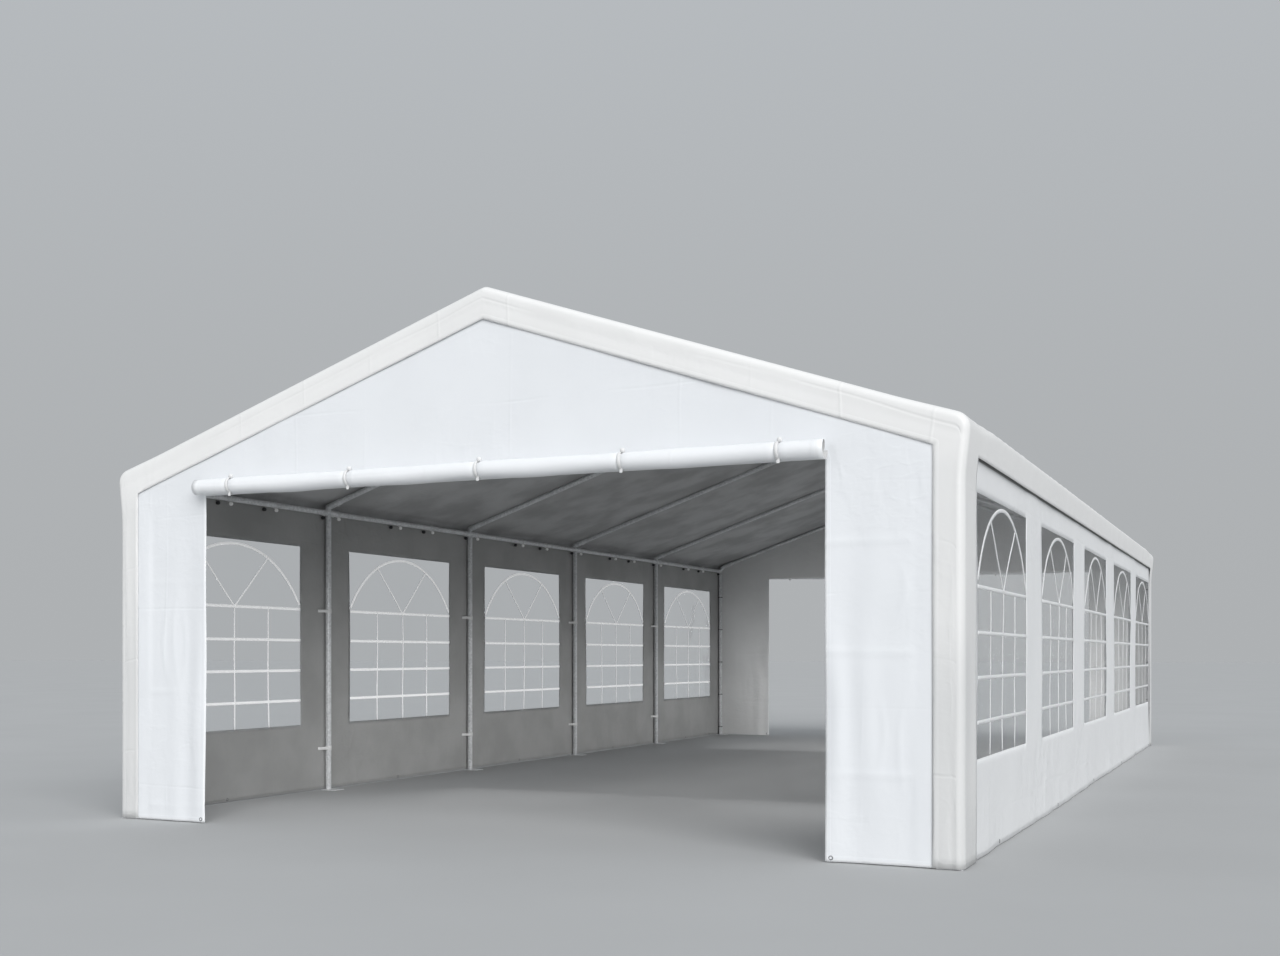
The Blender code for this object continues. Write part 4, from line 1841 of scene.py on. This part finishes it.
        post = finish_mesh(f"leg_{side.word}_{bent}", bm, (STEEL_ZINC,), STEEL_SHARP_FROM)
        return seat(post, Slot.STEEL, f"post_{side.word}_{bent}")

    def build_rafters(self, bent: int) -> bpy.types.Object:
        """Makes a rafter pair with its ridge connector.

        Args:
            bent: its number from the front.

        Returns:
            The piece.
        """
        layout, y = self.layout, self.layout.bents[bent - 1]
        apex = Vector((0, y, layout.rafter_foot + RIDGE_RISE))
        length = layout.post_x / math.cos(layout.slope) - self.bend_length(bent) - self.rafter_end_gap
        bm = bmesh.new()
        for sign in (-1, 1):
            down_slope = Vector((sign * math.cos(layout.slope), 0, -math.sin(layout.slope)))
            under = Vector((-sign * math.sin(layout.slope), 0, -math.cos(layout.slope)))
            add_rod(bm, apex, apex + down_slope * length, self.tube_radius)
            add_rod(bm, apex, apex + down_slope * self.socket_reach, self.socket_radius)
            spot = apex + down_slope * self.socket_bolt_reach + under * self.socket_radius
            self.add_bolt(bm, spot, under)
        bmesh.ops.create_uvsphere(bm, u_segments=24, v_segments=16, radius=self.socket_radius,
                                  matrix=Matrix.Translation(apex))
        low, high = self.sleeve_span(y)
        add_rod(bm, Vector((0, low, layout.ridge_rail)), Vector((0, high, layout.ridge_rail)),
                self.socket_radius)
        rafters = finish_mesh(f"rafter_bent_{bent}", bm, (STEEL_ZINC,), STEEL_SHARP_FROM)
        return seat(rafters, Slot.STEEL, f"rafter_pair_{bent}")

    def build_rail(self, name: str, node: str, x: float, z: float) -> bpy.types.Object:
        """Makes one rail along the tent.

        Args:
            name: the piece's name.
            node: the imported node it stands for.
            x: of its axis.
            z: of its axis.

        Returns:
            The piece.
        """
        end = self.layout.bents[-1] - self.rail_end_gap
        bm = bmesh.new()
        add_rod(bm, Vector((x, -end, z)), Vector((x, end, z)), self.tube_radius)
        return seat(finish_mesh(name, bm, (STEEL_ZINC,), STEEL_SHARP_FROM), Slot.STEEL, node)

    def build_clips(self) -> None:
        """Makes the clips that hold the wall sheets to the inner posts."""
        layout, bm = self.layout, bmesh.new()
        half = Vector((0, 0, self.clip_half_height))
        near, far = self.clip_reach
        for side, y, z in product(Side, layout.bents[1:-1], self.clip_heights):
            post = Vector((side.value * layout.post_x, y, z))
            add_rod(bm, post - half, post + half, self.post_radius + self.clip_thickness, rim=0.001)
            on_wall = Vector((side.value * (layout.wall_x - 0.004), y - far, z))
            on_post = post - Vector((side.value * (self.post_radius + 0.0015), near, 0))
            line = on_post - on_wall
            add_block(bm, (on_wall + on_post) / 2, (line.length, *self.clip_strap),
                      math.atan2(line.y, line.x))
        seat(finish_mesh("post_clips", bm, (BALL_WHITE,), STEEL_SHARP_FROM), Slot.CORD)

    def build(self) -> None:
        """Makes the whole frame."""
        layout = self.layout
        for bent in range(1, len(layout.bents) + 1):
            for side in Side:
                self.build_post(side, bent)
            self.build_rafters(bent)
        for side in Side:
            self.build_rail(f"rail_eave_{side.word}", f"eave_rail_{side.word}",
                            side.value * layout.post_x, layout.eave_rail)
        self.build_rail("rail_ridge", "ridge_rail", 0.0, layout.ridge_rail)
        self.build_clips()


# Small fastenings


@dataclass
class Fastenings:
    """Elastic loops on the rails and corner posts, and the metal eyelets along the ground."""

    layout: Layout
    loop_offsets: tuple[float, ...] = (0.11, 0.92, 1.39)
    cord: float = 0.0025
    rail_lean: float = 0.12
    post_lean: float = 0.1
    rail_radius: float = 0.019
    post_radius: float = 0.021
    ball: float = 0.014
    wall_ball: float = 0.015
    wall_ball_offsets: tuple[float, ...] = (-0.056, 0.815, 1.285)
    corner_heights: tuple[float, ...] = (1.7, 1.3, 0.9, 0.5, 0.1)
    eyelet: float = 0.009
    eyelet_rim: float = 0.0028
    eyelet_flat: float = 0.6
    eyelet_sunk: float = 0.0005
    eyelet_rise: float = 0.018
    bay_eyelet: float = 0.93
    end_eyelet: float = 4.7
    door_eyelet: float = 0.028

    def build_loops(self, side: Side) -> None:
        """Makes the loops that hold the sheets to one eave rail, and black balls on the wall as painted
        shadow.

        Args:
            side: the long side.
        """
        layout = self.layout
        cords, balls, shadow_balls = bmesh.new(), bmesh.new(), bmesh.new()
        x, z = side.value * layout.post_x, layout.eave_rail
        for bent in layout.bents[:-1]:
            for offset in self.loop_offsets:
                middle = Vector((x, bent + offset, z))
                for lean in (-self.rail_lean, self.rail_lean):
                    add_ring(cords, middle, Vector((0, 1, lean)), self.rail_radius + self.cord, self.cord)
                inward = -side.value * 0.013
                spot = middle + Vector((inward, 0, -self.rail_radius - self.ball - self.cord))
                add_ball(balls, spot, self.ball)
        # Black balls on the wall under the rail: painted shadow, dark things where the loops' shade falls
        # on the wall
        for bent in layout.bents:
            for y in (bent + offset for offset in self.wall_ball_offsets):
                if layout.bents[0] < y < layout.bents[-1]:
                    spot = Vector((x + side.value * 0.006, y, z - 2 * self.rail_radius))
                    add_ball(shadow_balls, spot, self.wall_ball)
        seat(finish_mesh(f"eave_loops_{side.word}", cords, (CORD_WHITE,)), Slot.CORD)
        seat(finish_mesh(f"eave_loop_balls_{side.word}", balls, (BALL_PAINTED_GLOW,)), Slot.CORD)
        seat(finish_mesh(f"eave_loop_stops_{side.word}", shadow_balls, (BALL_PAINTED_SHADOW,)), Slot.FITTINGS)

    def build_corner_loops(self) -> None:
        """Makes the dark elastic loops round the four corner posts."""
        layout, bm = self.layout, bmesh.new()
        corners = product(Side, (layout.bents[0], layout.bents[-1]), self.corner_heights)
        for side, y, z in corners:
            middle = Vector((side.value * layout.post_x, y, z))
            for lean in (-self.post_lean, self.post_lean):
                add_ring(bm, middle, Vector((lean, 0, 1)), self.post_radius + self.cord, self.cord)
        seat(finish_mesh("corner_post_loops", bm, (CORD_DARK,)), Slot.FITTINGS)

    def build_eyelets(self, walls: dict[Side, SideWall], gables: dict[End, GableSheet]) -> None:
        """Makes the eyelets at the foot of the sheets.

        Args:
            walls: the side walls, for how far each stands out.
            gables: the gable sheets.
        """
        layout, bm = self.layout, bmesh.new()
        z = layout.ground + self.eyelet_rise
        along_wall = [bent + self.bay_eyelet for bent in layout.bents[:-1]]
        along_wall += [-self.end_eyelet, self.end_eyelet]
        beside_door = [sign * (layout.door_half + self.door_eyelet) for sign in (-1, 1)]
        spots = []
        for (side, wall), y in product(walls.items(), along_wall):
            out = layout.wall_x + wall.relief(y, z) - self.eyelet_sunk
            spots.append((Vector((side.value * out, y, z)), Vector((1, 0, 0))))
        for (end, gable), x in product(gables.items(), beside_door):
            out = layout.wall_y + gable.relief(x, z) - self.eyelet_sunk
            spots.append((Vector((x, end.value * out, z)), Vector((0, 1, 0))))
        for spot, axis in spots:
            add_ring(bm, spot, axis, self.eyelet, self.eyelet_rim, 20, 8, (1, 1, self.eyelet_flat))
        seat(finish_mesh("eyelets", bm, (EYELET_METAL,)), Slot.STEEL)


# The studio


@dataclass(frozen=True)
class SoftPanel:
    """A broad panel light that fills the room under the tent."""

    name: str
    place: tuple[float, float, float]
    facing: tuple[float, float, float]
    size: Span
    power: float
    spread: float = 80.0

    def build(self) -> None:
        """Sets up the panel, unseen itself."""
        data = bpy.data.lights.new(self.name, "AREA")
        data.shape = "RECTANGLE"
        data.size, data.size_y = self.size
        data.energy = self.power
        data.spread = math.radians(self.spread)
        panel = bpy.data.objects.new(self.name, data)
        panel.location = self.place
        panel.rotation_mode = "QUATERNION"
        panel.rotation_quaternion = Vector(self.facing).to_track_quat("-Z", "Y")
        panel.visible_camera = panel.visible_glossy = panel.visible_transmission = False
        bpy.context.scene.collection.objects.link(panel)


@dataclass
class Studio:
    """The camera at the photograph's view, the pale floor and the soft light."""

    focal_px: float = 1428.59
    sensor: float = 36.0
    camera_place: tuple[float, float, float] = (3.8563, -11.5833, 0.9829)
    camera_turn: float = 0.4328
    shift: Span = (0.0118, 0.1385)
    floor_size: float = 400.0
    horizon_colour: Colour = (0.425, 0.44, 0.452)
    zenith_colour: Colour = (0.50, 0.53, 0.56)
    key_strength: float = 2.4
    key_from: tuple[float, float, float] = (0.85, -1.0, 0.72)
    fill_strength: float = 0.2
    fill_from: tuple[float, float, float] = (-0.6, -1.0, 0.3)
    softness: float = 50.0
    panels: tuple[SoftPanel, ...] = (
        SoftPanel("fill_left", (-0.05, 0.8, 0.4), (-1, 0, 0), (8.0, 0.5), 13.0, 72.0),
        SoftPanel("fill_right", (0.05, 0.8, 0.4), (1, 0, 0), (8.0, 0.5), 13.0, 72.0),
        SoftPanel("fill_rear", (0, 2.2, 0.4), (0, 1, 0), (3.4, 0.6), 11.0, 72.0),
        SoftPanel("fill_front", (0, -2.2, 0.4), (0, -1, 0), (3.4, 0.6), 11.0, 72.0),
        SoftPanel("fill_floor", (0, 0.4, 0.8), (0, 0, -1), (1.0, 6.0), 5.0, 120.0),
    )

    def build_camera(self) -> None:
        """Sets up the camera."""
        data = bpy.data.cameras.new("view")
        data.sensor_width = self.sensor
        data.lens = self.focal_px * self.sensor / PHOTO_WIDTH
        data.shift_x, data.shift_y = self.shift
        data.clip_start, data.clip_end = 0.05, 1000.0
        camera = bpy.data.objects.new("view", data)
        camera.location = self.camera_place
        camera.rotation_euler = (math.pi / 2, 0.0, self.camera_turn)
        bpy.context.scene.collection.objects.link(camera)
        bpy.context.scene.camera = camera

    def build_floor(self) -> None:
        """Lays the floor."""
        bm = bmesh.new()
        bmesh.ops.create_grid(bm, x_segments=8, y_segments=8, size=self.floor_size / 2)
        floor = finish_mesh("studio_floor", bm, (FLOOR_PALE,))

    def build_sky(self) -> None:
        """Sets up the backdrop, which grows lighter from the horizon up."""
        world = bpy.data.worlds.new("studio")
        world.use_nodes = True
        graph = Graph(world.node_tree)
        up = graph.split(graph.add("ShaderNodeTexCoord").outputs["Generated"])[2]
        height = graph.ramp(up, 0.0, 0.75)
        colour = graph.mix(height, self.horizon_colour, self.zenith_colour)
        graph.feed(world.node_tree.nodes["Background"].inputs["Color"], colour)
        bpy.context.scene.world = world

    def add_light(self, name: str, strength: float, come_from: Sequence[float]) -> None:
        """Adds one broad, soft light.

        Args:
            name: its name.
            strength: of the light on a surface that faces it.
            come_from: the direction that it comes from.
        """
        data = bpy.data.lights.new(name, "SUN")
        data.energy = strength
        data.angle = math.radians(self.softness)
        light = bpy.data.objects.new(name, data)
        light.rotation_mode = "QUATERNION"
        light.rotation_quaternion = Vector(come_from).to_track_quat("Z", "Y")
        bpy.context.scene.collection.objects.link(light)

    def build(self) -> None:
        """Sets up the whole studio."""
        self.build_camera()
        self.build_floor()
        self.build_sky()
        self.add_light("key", self.key_strength, self.key_from)
        self.add_light("fill", self.fill_strength, self.fill_from)
        for panel in self.panels:
            panel.build()
        bpy.context.scene.view_settings.view_transform = "Standard"


def main() -> None:
    """Builds the studio and every piece of the marquee, in order."""
    logging.basicConfig(level=logging.INFO, format="%(name)s: %(message)s")
    layout = Layout.from_frame()
    Studio().build()
    SteelFrame(layout).build()
    RoofSheet(layout).build()
    gables = {end: GableSheet(layout, end) for end in End}
    walls = {side: SideWall(layout, side) for side in Side}
    for gable in gables.values():
        gable.build()
    for end in End:
        DoorRoll(layout, end).build()
    for wall in walls.values():
        wall.build()
    fastenings = Fastenings(layout)
    for side in Side:
        fastenings.build_loops(side)
    fastenings.build_corner_loops()
    fastenings.build_eyelets(walls, gables)


if __name__ == "__main__":
    main()
